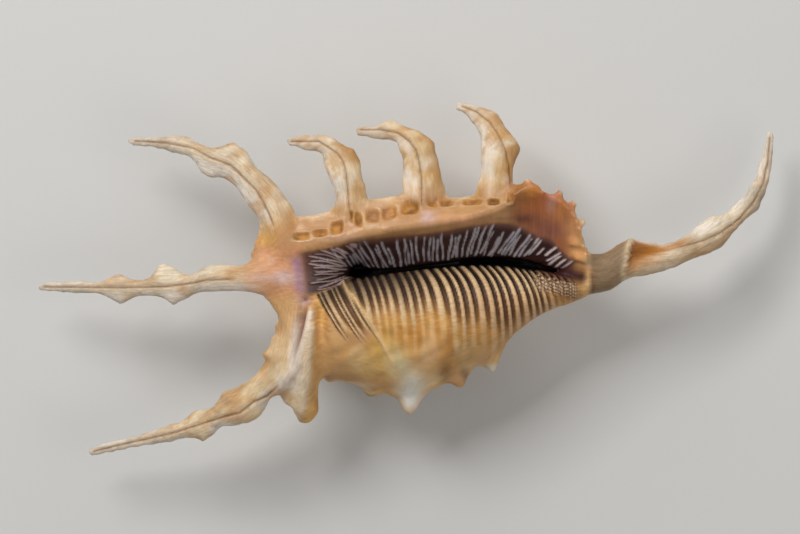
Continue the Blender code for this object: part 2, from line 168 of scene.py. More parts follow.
# --- Outer lip --------------------------------------------------------------------------------
# The whorl's free edge, thickened with age into a smooth band above the opening. At the canal's
# end it flares into a thin dished wing with a toothed rim.
INNER_Y = [(-28, 0.5), (-24, -3), (-20, -3.6), (-16, -2), (-12, 2.2)]
INNER_Z = [
    (-28, 29.6), (-24, 30.6), (-20, 29.4), (-16, 26.8), (-12, 24), (-6, 24.4), (6, 25.2),
    (24, 25), (32, 24.6), (40, 24),
]
CREST = [
    (-28, 6, 31), (-22, 7.6, 32.6), (-15, 9, 33.4), (-8, 10.4, 34), (0, 11.8, 34.4),
    (8, 13, 34.6), (16, 14.6, 34.6), (21, 16.4, 34.6), (25, 19.6, 34.8), (28, 19.6, 35),
    (31, 18.1, 35), (34, 16.0, 34.4), (36.3, 13.4, 33.4), (37.8, 9.5, 32), (39.2, 5, 30),
]
EDGE = [
    (-28, 9, 29.4), (-24, 13.2, 30), (-20, 13.8, 30), (-14, 15.6, 30), (-8, 17.2, 30), (-2, 18, 30),
    (4, 18.6, 30), (10, 17.7, 30), (14, 18, 30), (19, 19.6, 30.4), (23, 20.6, 31.6),
    (26.5, 20.6, 33.4), (30, 18.8, 34), (33, 17.8, 33.8), (35.3, 15.9, 33), (36.8, 13.2, 32),
    (37.8, 9.6, 31), (38.5, 6.6, 30), (39.2, 5.4, 29.2),
]
FLANK_Y = [
    (-28, 6.5), (-24, 9.5), (-16, 12), (-8, 13.4), (0, 14), (10, 14), (18, 14.5), (24, 15),
    (28, 14.4), (32, 12.4), (36, 9.4), (40, 4.6),
]
ROOT_Y = [
    (-28, 1), (-24, -3.5), (-18, -8.5), (-10, -9), (0, -8.5), (10, -7.5), (20, -5.5), (28, -3),
    (34, -1.4), (40, -0.6),
]
LIP_SPAN = (-28, 39.2)  # x of the lip's first and last ring
SLIT_START = -12  # x where the slit opens
LIP_SWELL = 1.1  # how far the lip's inner face is dished below a straight slope
CAVITY = 2.6  # how far the hollow behind the opening spreads under the lip


def lip_rings(stations=120, around=110):
    """The lip: each ring goes from the slit over the crest, down the flank, and back inside."""
    x = np.linspace(*LIP_SPAN, stations)
    slit = outline(SLIT_Y, x) + outline(SLIT_HALF, x)
    inner_y = np.where(x < SLIT_START, outline(INNER_Y, x), slit)
    inner_z = outline(INNER_Z, x)
    crest_y, crest_z = through(CREST, x).T
    edge_y, edge_z = through(EDGE, x).T
    flank_y, back, core_y = outline(FLANK_Y, x), outline(BACK_Z, x), outline(ROOT_Y, x)
    open_share = np.clip((x + 14) / 6, 0, 1) * np.clip((41 - x) / 8, 0, 1)  # 1 where the slit is deep
    thin = np.clip((x - 20) / 6, 0, 1)  # 1 on the thin wing at the canal's end
    depth = inner_z - back
    under = back + depth / 2
    profile = [
        (inner_y, inner_z),
        (inner_y + 0.3 * (crest_y - inner_y), inner_z + 0.36 * (crest_z - inner_z) - 0.5 * LIP_SWELL),
        (inner_y + 0.72 * (crest_y - inner_y), inner_z + 0.8 * (crest_z - inner_z) - LIP_SWELL),
        (crest_y - 0.4, crest_z - 0.15),
        (crest_y + 0.45 * (edge_y - crest_y), 0.5 * (crest_z + edge_z) + 0.4),
        (edge_y - 0.3, edge_z + 0.5),
        (edge_y, edge_z - 0.5),
        (edge_y - 2.0 + thin, edge_z - 3.4 + thin),
        (flank_y + 1.2, (edge_z + under) / 2 + 2 * thin),
        (flank_y, under - 0.05 * depth),
        (0.5 * (flank_y + core_y) + 3.2, back + 0.06 * depth),
        (core_y + 2, back),
        (core_y, under - 0.1 * depth),
        (inner_y - 2 + open_share * (CAVITY - 1), inner_z - 0.45 * depth),
        (inner_y + open_share * CAVITY, inner_z - 0.23 * depth),
        (inner_y + 0.4 * open_share, inner_z - 0.055 * depth),
    ]
    place = np.linspace(0, 1, len(profile) + 1)
    at = np.linspace(0, 1, around, endpoint=False)
    rings = []
    for n in range(stations):
        loop = [(y[n], z[n]) for y, z in profile]
        rows = [(s, *yz) for s, yz in zip(place, loop + loop[:1])]
        rings.append(np.column_stack([np.full(around, x[n]), through(rows, at)]))
    return np.array(rings)


forms.append(relief(lip_rings()))


def finger_spine(rows, step):
    """Rows of (x, y, z, left and right half-widths, half-thickness), smoothed and evenly spaced."""
    rows = np.array(rows, float)
    length = np.concatenate([[0], np.cumsum(np.linalg.norm(np.diff(rows[:, :3], axis=0), axis=1))])
    at = np.linspace(0, length[-1], max(6, int(length[-1] / step)))
    return at, through(np.column_stack([length, rows]), at)


def finger_rings(rows, step=0.7, around=28):
    """A tapering solid along its spine, its two sides drawn apart."""
    _, values = finger_spine(rows, step)
    centre, left, right, thick = values[:, :3], values[:, 3:4], values[:, 4:5], values[:, 5:6]
    along = np.gradient(centre, axis=0)
    along /= np.linalg.norm(along, axis=1)[:, None]
    side = np.cross([0, 0, 1], along)
    side /= np.linalg.norm(side, axis=1)[:, None]
    up = np.cross(along, side)
    angle = np.linspace(0, 2 * np.pi, around, endpoint=False)
    across = np.where(np.cos(angle) > 0, left, right) * np.cos(angle)
    rise = thick * np.sin(angle)
    return centre[:, None] + across[..., None] * side[:, None] + rise[..., None] * up[:, None]


# Teeth of the wing's rim: x and y of the tip, its height, and the way it points in degrees from +X.
TEETH = [
    (25.8, 22.0, 33.2, 100), (28.2, 20.9, 33.4, 60), (33.3, 19.5, 33.0, 62), (36.4, 17.1, 31.9, 52),
    (38.7, 12.3, 30.5, 5), (38.6, 8.1, 29.2, -5), (39.5, 4.2, 27.6, -20),
]
for tip_x, tip_y, tip_z, heading in TEETH:
    ahead = np.array([np.cos(np.radians(heading)), np.sin(np.radians(heading)), 0])
    tip = np.array([tip_x, tip_y, tip_z])
    forms.append(finger_rings([
        (*(tip - 3.4 * ahead), 1.3, 1.3, 0.8), (*(tip - 2.0 * ahead), 1.15, 1.15, 0.8),
        (*(tip - 1.0 * ahead), 0.95, 0.95, 0.75), (*(tip - 0.2 * ahead), 0.8, 0.8, 0.65),
    ], step=0.5, around=16))


# --- Fingers and canal ------------------------------------------------------------------------
# Six long hooked spines of the lip and the siphonal canal. Each grew as a gutter whose two edges
# closed in a seam on this side, with swellings where growth paused. Rows are those of finger_spine.
FINGERS = {
    "first": [
        (18.8, 13.5, 29.5, 5.0, 4.6, 3.6), (19.0, 18.0, 29.6, 4.2, 4.0, 3.2),
        (19.3, 21.5, 29.2, 3.6, 3.6, 2.9), (19.8, 25.0, 28.4, 3.6, 3.3, 2.8),
        (20.2, 28.3, 27.2, 4.0, 4.0, 2.6), (19.2, 31.5, 25.6, 3.4, 2.7, 2.4),
        (17.3, 34.3, 23.8, 2.7, 2.9, 2.0), (14.6, 36.3, 22.0, 1.5, 1.5, 1.4),
        (12.3, 37.4, 20.8, 1.1, 1.1, 1.0), (10.8, 37.5, 20.3, 1.0, 1.0, 0.8),
    ],
    "second": [
        (3.6, 12.5, 29.2, 5.6, 5.6, 3.6), (3.6, 17.5, 29.2, 4.9, 4.9, 3.2),
        (3.5, 20.5, 28.8, 4.2, 4.5, 2.9), (3.3, 24.0, 28.0, 3.9, 3.9, 2.8),
        (2.9, 27.0, 27.0, 3.8, 3.5, 2.7), (1.7, 29.8, 25.8, 3.5, 2.8, 2.5),
        (-0.8, 31.6, 24.4, 2.1, 1.7, 2.1), (-3.5, 32.3, 23.0, 2.1, 2.2, 1.8),
        (-6.5, 32.1, 21.8, 1.7, 1.3, 1.4), (-9.5, 32.4, 20.8, 1.2, 1.05, 1.0),
        (-11.0, 32.2, 20.3, 1.0, 1.0, 0.8),
    ],
    "third": [
        (-11.6, 10.0, 29.0, 4.8, 4.8, 3.6), (-12.1, 14.5, 29.0, 3.9, 4.3, 3.2),
        (-12.1, 18.5, 28.6, 2.9, 3.4, 2.9), (-13.0, 22.0, 27.8, 3.5, 3.5, 2.8),
        (-13.9, 25.0, 26.8, 3.8, 3.9, 2.7), (-15.3, 27.6, 25.6, 3.0, 2.4, 2.4),
        (-17.6, 29.4, 24.2, 2.1, 2.0, 2.0), (-20.5, 29.8, 22.8, 1.8, 1.6, 1.6),
        (-23.5, 30.1, 21.6, 1.3, 1.2, 1.1), (-25.8, 29.9, 20.8, 0.85, 0.85, 0.7),
    ],
    "fourth": [
        (-25.5, 7.0, 28.5, 5.0, 5.0, 3.4), (-27.3, 11.5, 28.6, 3.8, 4.2, 3.2),
        (-29.0, 15.5, 28.2, 3.7, 3.8, 3.0), (-31.7, 19.0, 27.6, 3.8, 3.8, 2.9),
        (-34.4, 22.1, 26.8, 3.2, 3.1, 2.7), (-38.4, 25.3, 25.4, 3.6, 4.4, 2.5),
        (-42.5, 26.6, 24.2, 3.9, 2.1, 2.2), (-45.8, 28.0, 23.0, 1.8, 1.9, 2.0),
        (-49.0, 29.3, 21.8, 1.8, 1.9, 1.7), (-54.0, 29.9, 19.8, 1.3, 1.25, 1.2),
        (-60.5, 30.2, 17.4, 0.95, 0.95, 0.8),
    ],
    "fifth": [
        (-26.0, 2.0, 28.5, 5.0, 5.5, 3.4), (-31.0, 0.9, 28.6, 4.2, 4.5, 3.0),
        (-35.0, 0.4, 28.2, 2.9, 2.9, 2.7), (-40.0, 0.4, 27.4, 2.9, 3.1, 2.6),
        (-43.0, 0.1, 26.8, 2.8, 2.9, 2.5), (-45.8, -0.6, 26.2, 2.3, 1.9, 2.2),
        (-48.5, -1.2, 25.6, 3.2, 3.0, 2.2), (-50.0, -1.3, 25.2, 3.7, 4.1, 2.2),
        (-52.7, -1.3, 24.6, 2.6, 4.7, 2.2), (-55.5, -1.5, 23.8, 2.0, 2.0, 1.9),
        (-58.5, -1.7, 23.0, 1.9, 1.8, 1.8), (-61.8, -1.9, 22.0, 3.1, 3.0, 1.9),
        (-64.0, -1.8, 21.4, 2.3, 2.7, 1.8), (-66.0, -1.7, 20.8, 1.5, 1.5, 1.4),
        (-72.0, -1.6, 18.8, 1.2, 1.3, 1.1), (-77.0, -1.5, 17.0, 1.15, 1.15, 0.9),
        (-80.0, -1.6, 16.0, 0.95, 0.95, 0.8),
    ],
    "sixth": [
        (-25.0, -2.0, 28.6, 3.0, 3.5, 3.0), (-25.3, -7.0, 28.4, 3.0, 2.2, 2.8),
        (-25.6, -11.0, 28.0, 3.0, 2.6, 2.8), (-26.2, -15.0, 27.4, 3.4, 3.6, 3.0),
        (-28.2, -19.8, 26.4, 4.6, 3.2, 3.0), (-31.5, -23.3, 25.6, 3.2, 3.0, 2.9),
        (-34.7, -26.5, 24.8, 4.3, 3.8, 2.7), (-37.5, -27.9, 24.0, 3.7, 4.1, 2.5),
        (-41.0, -29.8, 23.0, 2.3, 2.6, 2.3), (-44.5, -31.3, 22.0, 3.4, 3.1, 2.2),
        (-47.5, -32.1, 21.2, 2.2, 2.1, 2.0), (-52.0, -33.4, 20.0, 1.9, 1.8, 1.7),
        (-58.0, -34.9, 18.2, 1.3, 1.3, 1.2), (-64.0, -36.2, 16.4, 1.2, 1.2, 1.0),
        (-69.1, -37.5, 15.0, 1.0, 1.0, 0.8),
    ],
    "canal": [
        (34.0, 0.5, 22.5, 3.5, 3.5, 3.4), (39.0, 1.4, 22.8, 4.4, 4.2, 3.6),
        (42.5, 1.6, 23.0, 4.2, 4.2, 3.4), (45.5, 3.0, 23.0, 3.9, 3.5, 3.2),
        (48.5, 4.6, 22.8, 4.2, 4.2, 3.1), (52.0, 5.0, 22.4, 3.4, 4.0, 2.9),
        (56.5, 5.4, 21.6, 2.6, 3.1, 2.6), (61.0, 7.0, 20.6, 2.6, 2.7, 2.4),
        (66.6, 10.1, 19.2, 3.5, 3.5, 2.2), (70.3, 12.8, 18.0, 2.1, 2.1, 1.9),
        (74.2, 16.4, 16.6, 2.1, 2.2, 1.8), (76.4, 19.3, 15.6, 1.6, 1.8, 1.6),
        (78.1, 24.5, 13.8, 1.3, 1.45, 1.3), (79.1, 29.0, 12.4, 1.05, 1.0, 1.0),
        (79.4, 32.7, 11.4, 0.85, 0.85, 0.7),
    ],
}
for rows in FINGERS.values():
    forms.append(finger_rings(rows))


# --- Shoulder and spire -----------------------------------------------------------------------
# The older turns of the coil behind the fingers, the big shoulder knob, and the folds and plate
# that tie the hind flange to the whorl. Three knobs of the back are worn flat where the shell lies.
SHOULDER = {
    "knob": [
        (-20.3, -5.0, 29.6, 1.6, 1.6, 2.6), (-21.2, -12.0, 29.4, 2.4, 2.4, 3.4),
        (-21.8, -19.0, 26.6, 3.2, 3.4, 4.2), (-22.0, -24.0, 24.0, 3.0, 3.2, 3.6),
        (-22.0, -28.2, 22.0, 2.5, 2.6, 2.8), (-22.0, -30.8, 20.8, 1.2, 1.3, 1.4),
    ],
    "pale_fold": [
        (-20.6, -5.0, 31.2, 0.9, 0.9, 1.4), (-22.2, -12.0, 30.8, 1.5, 1.4, 1.8),
        (-24.6, -18.5, 28.6, 2.2, 2.0, 2.4), (-29.0, -23.4, 25.8, 2.4, 2.4, 2.4),
    ],
    "web": [
        (-22.6, -7.0, 27.8, 2.0, 2.0, 2.4), (-23.4, -14.0, 27.4, 2.3, 2.3, 2.8),
        (-24.2, -19.5, 26.0, 3.0, 3.0, 3.2), (-24.6, -23.5, 24.4, 3.2, 3.2, 2.8),
        (-24.2, -26.6, 23.0, 1.8, 2.2, 2.2),
    ],
    "whorl_side": [
        (-19.0, -5.0, 28.0, 2.0, 2.0, 2.6), (-19.0, -11.0, 27.6, 2.8, 2.8, 3.2),
        (-19.0, -16.0, 26.2, 2.8, 3.0, 3.4), (-18.8, -20.0, 24.0, 2.6, 2.6, 3.0),
    ],
    "hind_plate": [
        (-29.8, 12.5, 28.4, 1.8, 1.6, 1.6), (-30.6, 8.5, 28.5, 2.3, 1.8, 1.5),
        (-31.0, 5.0, 28.5, 2.3, 2.2, 1.5), (-31.5, 1.5, 28.4, 2.0, 2.0, 1.5),
    ],
    "hind_fillet": [
        (-32.2, -0.4, 28.3, 1.5, 1.5, 1.6), (-29.9, -2.1, 28.4, 1.9, 1.6, 1.7),
        (-27.8, -4.4, 28.4, 2.0, 1.7, 1.8), (-26.2, -7.4, 28.3, 1.9, 1.5, 1.6),
    ],
}
RESTING_KNOBS = {
    "plain_side": [
        (11.3, -10.8, 11.0, 6.8, 6.8, 6.8), (11.3, -13.3, 6.5, 5.6, 5.6, 5.6),
        (11.3, -15.0, 3.2, 4.0, 4.0, 4.0), (11.3, -15.9, 0.4, 2.3, 2.3, 2.3),
        (11.3, -16.2, -1.0, 1.6, 1.6, 1.6),
    ],
    "spire_side": [
        (-14.6, -4.4, 11.0, 7.4, 7.4, 7.4), (-15.2, -4.6, 6.5, 6.0, 6.0, 6.0),
        (-15.7, -4.7, 3.2, 4.2, 4.2, 4.2), (-16.0, -4.8, 0.4, 2.3, 2.3, 2.3),
        (-16.2, -4.8, -1.0, 1.6, 1.6, 1.6),
    ],
    "lip_side": [
        (3.6, 3.0, 11.0, 7.2, 7.2, 7.2), (3.8, 5.3, 6.5, 5.9, 5.9, 5.9), (4.0, 6.8, 3.2, 4.1, 4.1, 4.1),
        (4.0, 7.5, 0.4, 2.3, 2.3, 2.3), (4.0, 7.8, -1.0, 1.6, 1.6, 1.6),
    ],
}
for rows in [*SHOULDER.values(), *RESTING_KNOBS.values()]:
    forms.append(finger_rings(rows))


APEX = (-30.8, -0.2, 17.5)
COIL_LINE = (15.5, -5.5, 0.5)  # from the apex to the end of the line that the tube coils round
COIL_TURNS = 3.1
COIL_WIDENING = 1.7  # how many times wider the tube is after one turn
COIL_REACH = 6.3  # from the coil's line to the middle of the tube, at its mouth
COIL_TUBE = 7.4  # radius of the tube at its mouth
COIL_END = 150  # degrees round from up where the tube ends
COIL_KNOBS = 11  # low knobs in each turn


def coil_rings(stations=220, around=28):
    """The spire: a tube that coils out from the apex and widens by the same share each turn."""
    turn = np.linspace(0, COIL_TURNS, stations)
    size = COIL_WIDENING ** (turn - COIL_TURNS)
    angle = 2 * np.pi * (turn - COIL_TURNS) + np.radians(COIL_END)
    out = np.column_stack([np.zeros_like(angle), -np.sin(angle), np.cos(angle)])
    centre = np.array(APEX) + size[:, None] * (np.array(COIL_LINE) + COIL_REACH * out)
    along = np.gradient(centre, axis=0)
    along /= np.linalg.norm(along, axis=1)[:, None]
    side = np.cross(along, out)
    side /= np.linalg.norm(side, axis=1)[:, None]
    rise = np.cross(side, along)
    spin = np.linspace(0, 2 * np.pi, around, endpoint=False)
    knobbed = 1 + 0.1 * np.cos(COIL_KNOBS * angle)[:, None] * np.clip(np.sin(spin), 0, 1)
    radius = COIL_TUBE * size[:, None] * knobbed
    across, tall = radius * np.cos(spin), radius * np.sin(spin)
    return centre[:, None] + across[..., None] * side[:, None] + tall[..., None] * rise[:, None]


forms.append(coil_rings())


# --- One grown skin ---------------------------------------------------------------------------
# A shell has no joints: every part runs into the next. The forms are merged on a fine grid, eased
# where they meet, and given a finer mesh over the opening and along the seams.
SKIN_STEP = 0.54  # pitch of the grid that merges the forms
KEPT_SHARE = 0.66  # share of faces kept once the plain parts are thinned out
merged = bmesh.new()
for rings in forms:
    placed = rings * MM
    loops = [[merged.verts.new(point) for point in ring] for ring in placed]
    faces = []
    for first, second in zip(loops, loops[1:]):
        for n in range(len(first)):
            after = (n + 1) % len(first)
            faces.append(merged.faces.new((first[n], first[after], second[after], second[n])))
    for loop, ring in ((loops[0], placed[0]), (loops[-1], placed[-1])):
        cap = merged.verts.new(ring.mean(axis=0))
        for n in range(len(loop)):
            faces.append(merged.faces.new((loop[n], loop[(n + 1) % len(loop)], cap)))
    bmesh.ops.recalc_face_normals(merged, faces=faces)
rough_mesh = bpy.data.meshes.new("rough_shell")
merged.to_mesh(rough_mesh)
merged.free()
rough = bpy.data.objects.new("rough_shell", rough_mesh)
bpy.context.scene.collection.objects.link(rough)
merging = rough.modifiers.new("one_skin", "REMESH")
merging.mode = "VOXEL"
merging.voxel_size = SKIN_STEP * MM
skin = bpy.data.meshes.new_from_object(rough.evaluated_get(bpy.context.evaluated_depsgraph_get()))
bpy.data.objects.remove(rough)


def points_of(mesh):
    """The mesh's points in millimetres."""
    flat = np.empty(len(mesh.vertices) * 3)
    mesh.vertices.foreach_get("co", flat)
    return flat.reshape(-1, 3) / MM


def normals_of(mesh):
    """The way out at each point."""
    flat = np.empty(len(mesh.vertices) * 3)
    mesh.vertex_normals.foreach_get("vector", flat)
    return flat.reshape(-1, 3)


def put_points(mesh, points):
    """Moves the mesh's points to these places in millimetres."""
    mesh.vertices.foreach_set("co", (points * MM).ravel())
    mesh.update()


def eased(mesh, rounds, share=0.5):
    """Draws each point towards the middle of its neighbours, by share, a number of rounds."""
    ends = np.empty(len(mesh.edges) * 2, int)
    mesh.edges.foreach_get("vertices", ends)
    first, second = ends.reshape(-1, 2).T
    points = points_of(mesh)
    count = np.bincount(first, minlength=len(points)) + np.bincount(second, minlength=len(points))
    share = np.broadcast_to(share, len(points))[:, None]
    for _ in range(rounds):
        total = np.zeros_like(points)
        for axis in range(3):
            total[:, axis] += np.bincount(first, points[second, axis], len(points))
            total[:, axis] += np.bincount(second, points[first, axis], len(points))
        points = points + share * (total / count[:, None] - points)
    put_points(mesh, points)


def lane(rows, x, y):
    """Distance in plan from each point to a line through rows of (x, y), and how far along the line."""
    nearest, along, done = np.full(len(x), 1e9), np.zeros(len(x)), 0.0
    rows = np.array(rows, float)
    for start, end in zip(rows, rows[1:]):
        way = end - start
        length = np.hypot(*way)
        t = np.clip(((x - start[0]) * way[0] + (y - start[1]) * way[1]) / length**2, 0, 1)
        far = np.hypot(x - start[0] - t * way[0], y - start[1] - t * way[1])
        along = np.where(far < nearest, done + t * length, along)
        nearest = np.minimum(nearest, far)
        done += length
    return nearest, along / done


# Seams of the fingers and canal, from root to tip.
SEAMS = {
    "first": [
        (22.2, 19), (22.3, 22), (22, 25), (21.3, 28), (20, 31), (18, 34), (15, 36.5), (12, 37.7),
    ],
    "second": [
        (3.3, 15.5), (3.3, 18), (3.2, 22), (2.8, 25), (2, 28), (0.5, 30), (-2, 31.8), (-6, 32.6),
        (-10, 32.6),
    ],
    "third": [
        (-11.7, 12.5), (-12, 14.5), (-12.5, 17), (-12.7, 20), (-13, 23), (-13.5, 25.5), (-15, 27.5),
        (-19, 30), (-25, 30),
    ],
    "fourth": [
        (-28, 10), (-28.5, 11.5), (-29.5, 14), (-30.7, 16.5), (-32.5, 19.5), (-35, 22), (-38, 24.8),
        (-42, 26.3), (-46, 28.5), (-52, 29.7), (-59, 30.2),
    ],
    "fifth": [(-36, 0.2), (-43, 0), (-46, -0.7), (-52, -1.4), (-60, -1.6), (-79, -1.5)],
    "sixth": [
        (-27, -22), (-30, -25), (-33, -26.3), (-36, -28.7), (-40, -29.7), (-44, -31), (-50, -33),
        (-60, -35.3), (-68, -37.3),
    ],
    "canal": [
        (57, 7.2), (61, 7.7), (64.1, 8.5), (67.8, 10.1), (70.5, 11.9), (72.4, 13.4), (75.4, 17),
        (77.6, 21), (78.8, 26), (79.3, 31),
    ],
}
# Knuckles where growth paused: x and y on the outline, how far they stand out, radius.
KNUCKLES = [
    (24.8, 28.6, 0.7, 1.4), (15.6, 27.5, 0.5, 2.6), (13.8, 34.2, 0.5, 1.6), (-3.6, 34.8, 0.5, 1.4),
    (-1.2, 28.6, 0.6, 1.6), (-0.8, 22.5, 0.35, 2.4), (-11.8, 27.9, 0.6, 1.2), (5.4, 29.6, 0.5, 1.4),
    (-22.0, 28.2, 0.4, 1.6), (-18.2, 25.8, 0.4, 1.2), (-37.6, 29.9, 0.6, 1.1),
    (-44.6, 22.6, 0.9, 0.9), (-42.0, 21.8, 0.4, 1.2), (-47.5, 31.2, 0.4, 1.2),
    (-51.0, 27.5, 0.4, 2.2), (-62.4, 1.4, 0.7, 1.0), (-62.2, -5.2, 0.5, 0.9),
    (-53.4, 3.6, 0.5, 1.0), (-50.4, -5.2, 0.6, 1.0), (-70.0, 0.3, 0.4, 3.0),
    (-29.6, -12.4, 1.0, 0.7), (-30.2, -16.0, 1.0, 0.8), (-28.4, -9.8, 0.9, 0.7),
    (-39.4, -24.6, 0.4, 1.2), (-46.4, -28.3, 0.5, 1.4), (-36.0, -22.6, 0.4, 1.2),
    (-44.0, -35.1, 0.5, 1.0), (-37.0, -31.8, 0.4, 1.2), (-20.0, -28.6, 0.6, 1.4),
    (-33.2, 7.8, 0.8, 0.8), (-33.4, 5.6, 0.8, 0.7), (48.6, 9.3, 0.4, 1.0), (66.3, 14.1, 0.6, 1.4),
    (76.8, 14.9, 0.6, 1.3), (72.0, 11.4, 0.3, 1.5), (75.6, 20.2, 0.4, 1.6), (77.3, 25.0, 0.3, 2.0),
]
eased(skin, rounds=3)
coarse = points_of(skin)
outward = normals_of(skin)
for knuckle_x, knuckle_y, tall, radius in KNUCKLES:
    far = np.hypot(coarse[:, 0] - knuckle_x, coarse[:, 1] - knuckle_y)
    coarse += tall * np.exp(-((far / radius) ** 2))[:, None] * outward
put_points(skin, coarse)
eased(skin, rounds=1)

# The hind plate round the fifth finger's root grew smooth, so its forms are eased further.
hind_plate = ease(-36, -31, coarse[:, 0]) * ease(-21.5, -24, coarse[:, 0]) * ease(-10, -6, coarse[:, 1])
hind_plate *= ease(10, 7, coarse[:, 1]) * ease(0.3, 0.8, outward[:, 2])
eased(skin, rounds=14, share=0.6 * hind_plate)


def close_work(mesh):
    """Which points lie in the opening or by a seam, where the mesh has to be finer."""
    x, y, z = points_of(mesh).T
    facing = normals_of(mesh)[:, 2]
    near_seam = np.full(len(x), 1e9)
    for rows in SEAMS.values():
        near_seam = np.minimum(near_seam, lane(rows, x, y)[0])
    opening = (x > -25) & (x < 39.5) & (y > -17 + 0.25 * np.maximum(x - 4, 0)) & (y < 16.2 + 0.12 * x)
    return (opening & (z > 20) & (facing > 0.05)) | ((near_seam < 0.6) & (facing > 0.3))


carrier = bpy.data.objects.new("shell_skin", skin)
bpy.context.scene.collection.objects.link(carrier)
plain = carrier.vertex_groups.new(name="plain")
plain.add(np.flatnonzero(~close_work(skin)).tolist(), 1.0, "REPLACE")
thinning = carrier.modifiers.new("thin_out_plain_parts", "DECIMATE")
thinning.ratio = KEPT_SHARE
thinning.vertex_group = "plain"
skin = bpy.data.meshes.new_from_object(carrier.evaluated_get(bpy.context.evaluated_depsgraph_get()))
bpy.data.objects.remove(carrier)
fine = close_work(skin)
denser = bmesh.new()
denser.from_mesh(skin)
denser.verts.ensure_lookup_table()
chosen = {edge for face in denser.faces if all(fine[v.index] for v in face.verts) for edge in face.edges}
in_order = sorted(chosen, key=lambda edge: edge.index)
bmesh.ops.subdivide_edges(denser, edges=in_order, cuts=1, use_grid_fill=True)
denser.to_mesh(skin)
denser.free()
eased(skin, rounds=1)


# --- Ribs of the opening ----------------------------------------------------------------------
# Raised folds of enamel that the mantle laid across both sides of the slit: long ones over the
# columella, streaky ones up the outer lip, and a fan of fine ones round the hind end.
DEEP_SPOT = (-10.6, 2.2)  # where the hind end of the slit drops into the shell
LIP_RIBS_TOP = [  # x, y where the streaks end below the rim
    (-22.6, 6.2), (-15, 7.5), (-10, 8.9), (-5, 9.4), (0, 9.9), (5, 10.4), (10, 11.2), (15, 12.2),
    (20, 12.6), (24, 12), (28, 9.9), (31, 9), (33, 7), (35, 5),
]
LIP_RIBS_LEAN = [  # x, how far a streak moves along X for each millimetre that it climbs
    (-12, -0.75), (-8, -0.6), (-4, -0.4), (0, -0.15), (5, 0), (10, 0.1), (13, 0.35), (18, 0.55),
    (24, 0.7), (28, 0.95), (33, 1.15),
]
COLUMELLA_SWEEP = [  # x at the slit, how far the rib sweeps along X, over what distance
    (-14, 4.6, 7), (-9, 4.2, 7), (-5, 3.9, 6.5), (0, 4.0, 6), (6, 5.0, 5), (12, 5.8, 4.5),
    (20, 6.0, 4.2), (28, 4.8, 3.5), (34, 3.0, 3),
]
COLUMELLA_RIBS_END = [  # x at the slit, how far from it the rib fades out
    (-14, 9), (-11, 9.5), (-6, 10), (0, 10.6), (4, 12), (8, 14), (13, 15.5), (18, 14.5), (22, 12.5),
    (26, 9.5), (30, 6.5), (33, 4.2), (36, 2.6),
]
PLAIN_RIDGE = [  # x, y of the bare ridge between the two groups of columella ribs
    (-13.6, -0.6), (-12.6, -2.4), (-10.6, -4.8), (-8.8, -7.4), (-7, -10.2), (-5.3, -13.1),
    (-3.6, -16.4), (-1.9, -20.1), (0.4, -24.5),
]
COLUMELLA_PITCH = 1.86
HIND_PITCH = 1.42
TO_THE_RIM = 99  # a length that no streak reaches, so that it runs on to the rim
RIB_SEED = 11
LIP_RIBS_SPAN = (-11.6, 33.0)  # x of the first and the last streak, where each leaves the slit
FAN_SPAN = (-6.2, 8.5)  # level of the first and the last rib of the fan, from the deep spot
COLUMELLA_RIB, LIP_RIB, FAN_RIB = 0.56, 0.42, 0.3  # how far each kind stands up


def band(centre, half):
    """1 on a line and a smooth fall to 0 about half away from it."""
    return np.exp(-((centre / half) ** 2))


points = points_of(skin)
out = normals_of(skin)
x, y, z = points.T
facing = out[:, 2]
chance = np.random.default_rng(RIB_SEED)
slit = outline(SLIT_Y, x)
half_slit = outline(SLIT_HALF, x)
top = outline(LIP_RIBS_TOP, x)
front = ease(-0.1, 0.25, facing) * ease(18, 22, z)  # 1 on what the opening's side shows
shown = ease(19.5, 21.5, z)
below, above = slit - y, y - slit
ridge_x = np.interp(-y, [-row[1] for row in PLAIN_RIDGE], [row[0] for row in PLAIN_RIDGE])
past_ridge = ease(-0.2, 0.5, x - ridge_x)

# The long ribs of the columella, which sweep towards the canal as they leave the slit.
foot = x.copy()
for _ in range(8):
    sweep, bend = through(COLUMELLA_SWEEP, foot).T
    foot = x - sweep * (1 - np.exp(-np.maximum(below, 0) / bend))
uneven = 0.1 * np.sin(0.8 * foot) + 0.03 * np.sin(2.6 * foot)
turn = foot / COLUMELLA_PITCH + uneven + 0.012 * foot * ease(14, 34, foot)
wave = 0.5 + 0.5 * np.cos(2 * np.pi * turn)
end = outline(COLUMELLA_RIBS_END, foot) + 1.8 * np.sin(5 * np.round(turn)) * (0.3 + 0.7 * wave)
fade = ease(end + 3.0, end - 6.0, below)
main_zone = front * past_ridge * ease(-16.5, -15.5, foot) * ease(36.5, 34.5, foot)
main_zone *= ease(-0.4, 0.7, below - half_slit * 0.5)

# The hind group, which starts upright and swings over to run with the ridge.
hind_drop = np.maximum(-y, 0)
hind_foot = x - 0.38 * hind_drop - 0.014 * hind_drop**2
hind_turn = hind_foot / HIND_PITCH + 0.2 * np.sin(1.9 * hind_foot)
hind_wave = 0.5 + 0.5 * np.cos(2 * np.pi * hind_turn)
hind_end = 13.2 + 1.4 * np.sin(4 * np.round(hind_turn))
hind_fade = ease(hind_end + 1.5, hind_end - 6, -y)
hind_zone = front * (1 - past_ridge) * ease(-21.2, -20.4, hind_foot)
hind_zone *= ease(-2.7, -3.5, y - 0.42 * (x + 19.6))
columella_zone = main_zone + hind_zone

# Both groups together: wave is 1 on a rib's top and 0 in a groove, and fade dies out along it.
wave = wave * main_zone + hind_wave * hind_zone
fade = fade * main_zone + hind_fade * hind_zone
groove = (columella_zone - wave) * fade
lift = COLUMELLA_RIB * (wave - 0.5 * columella_zone) * fade

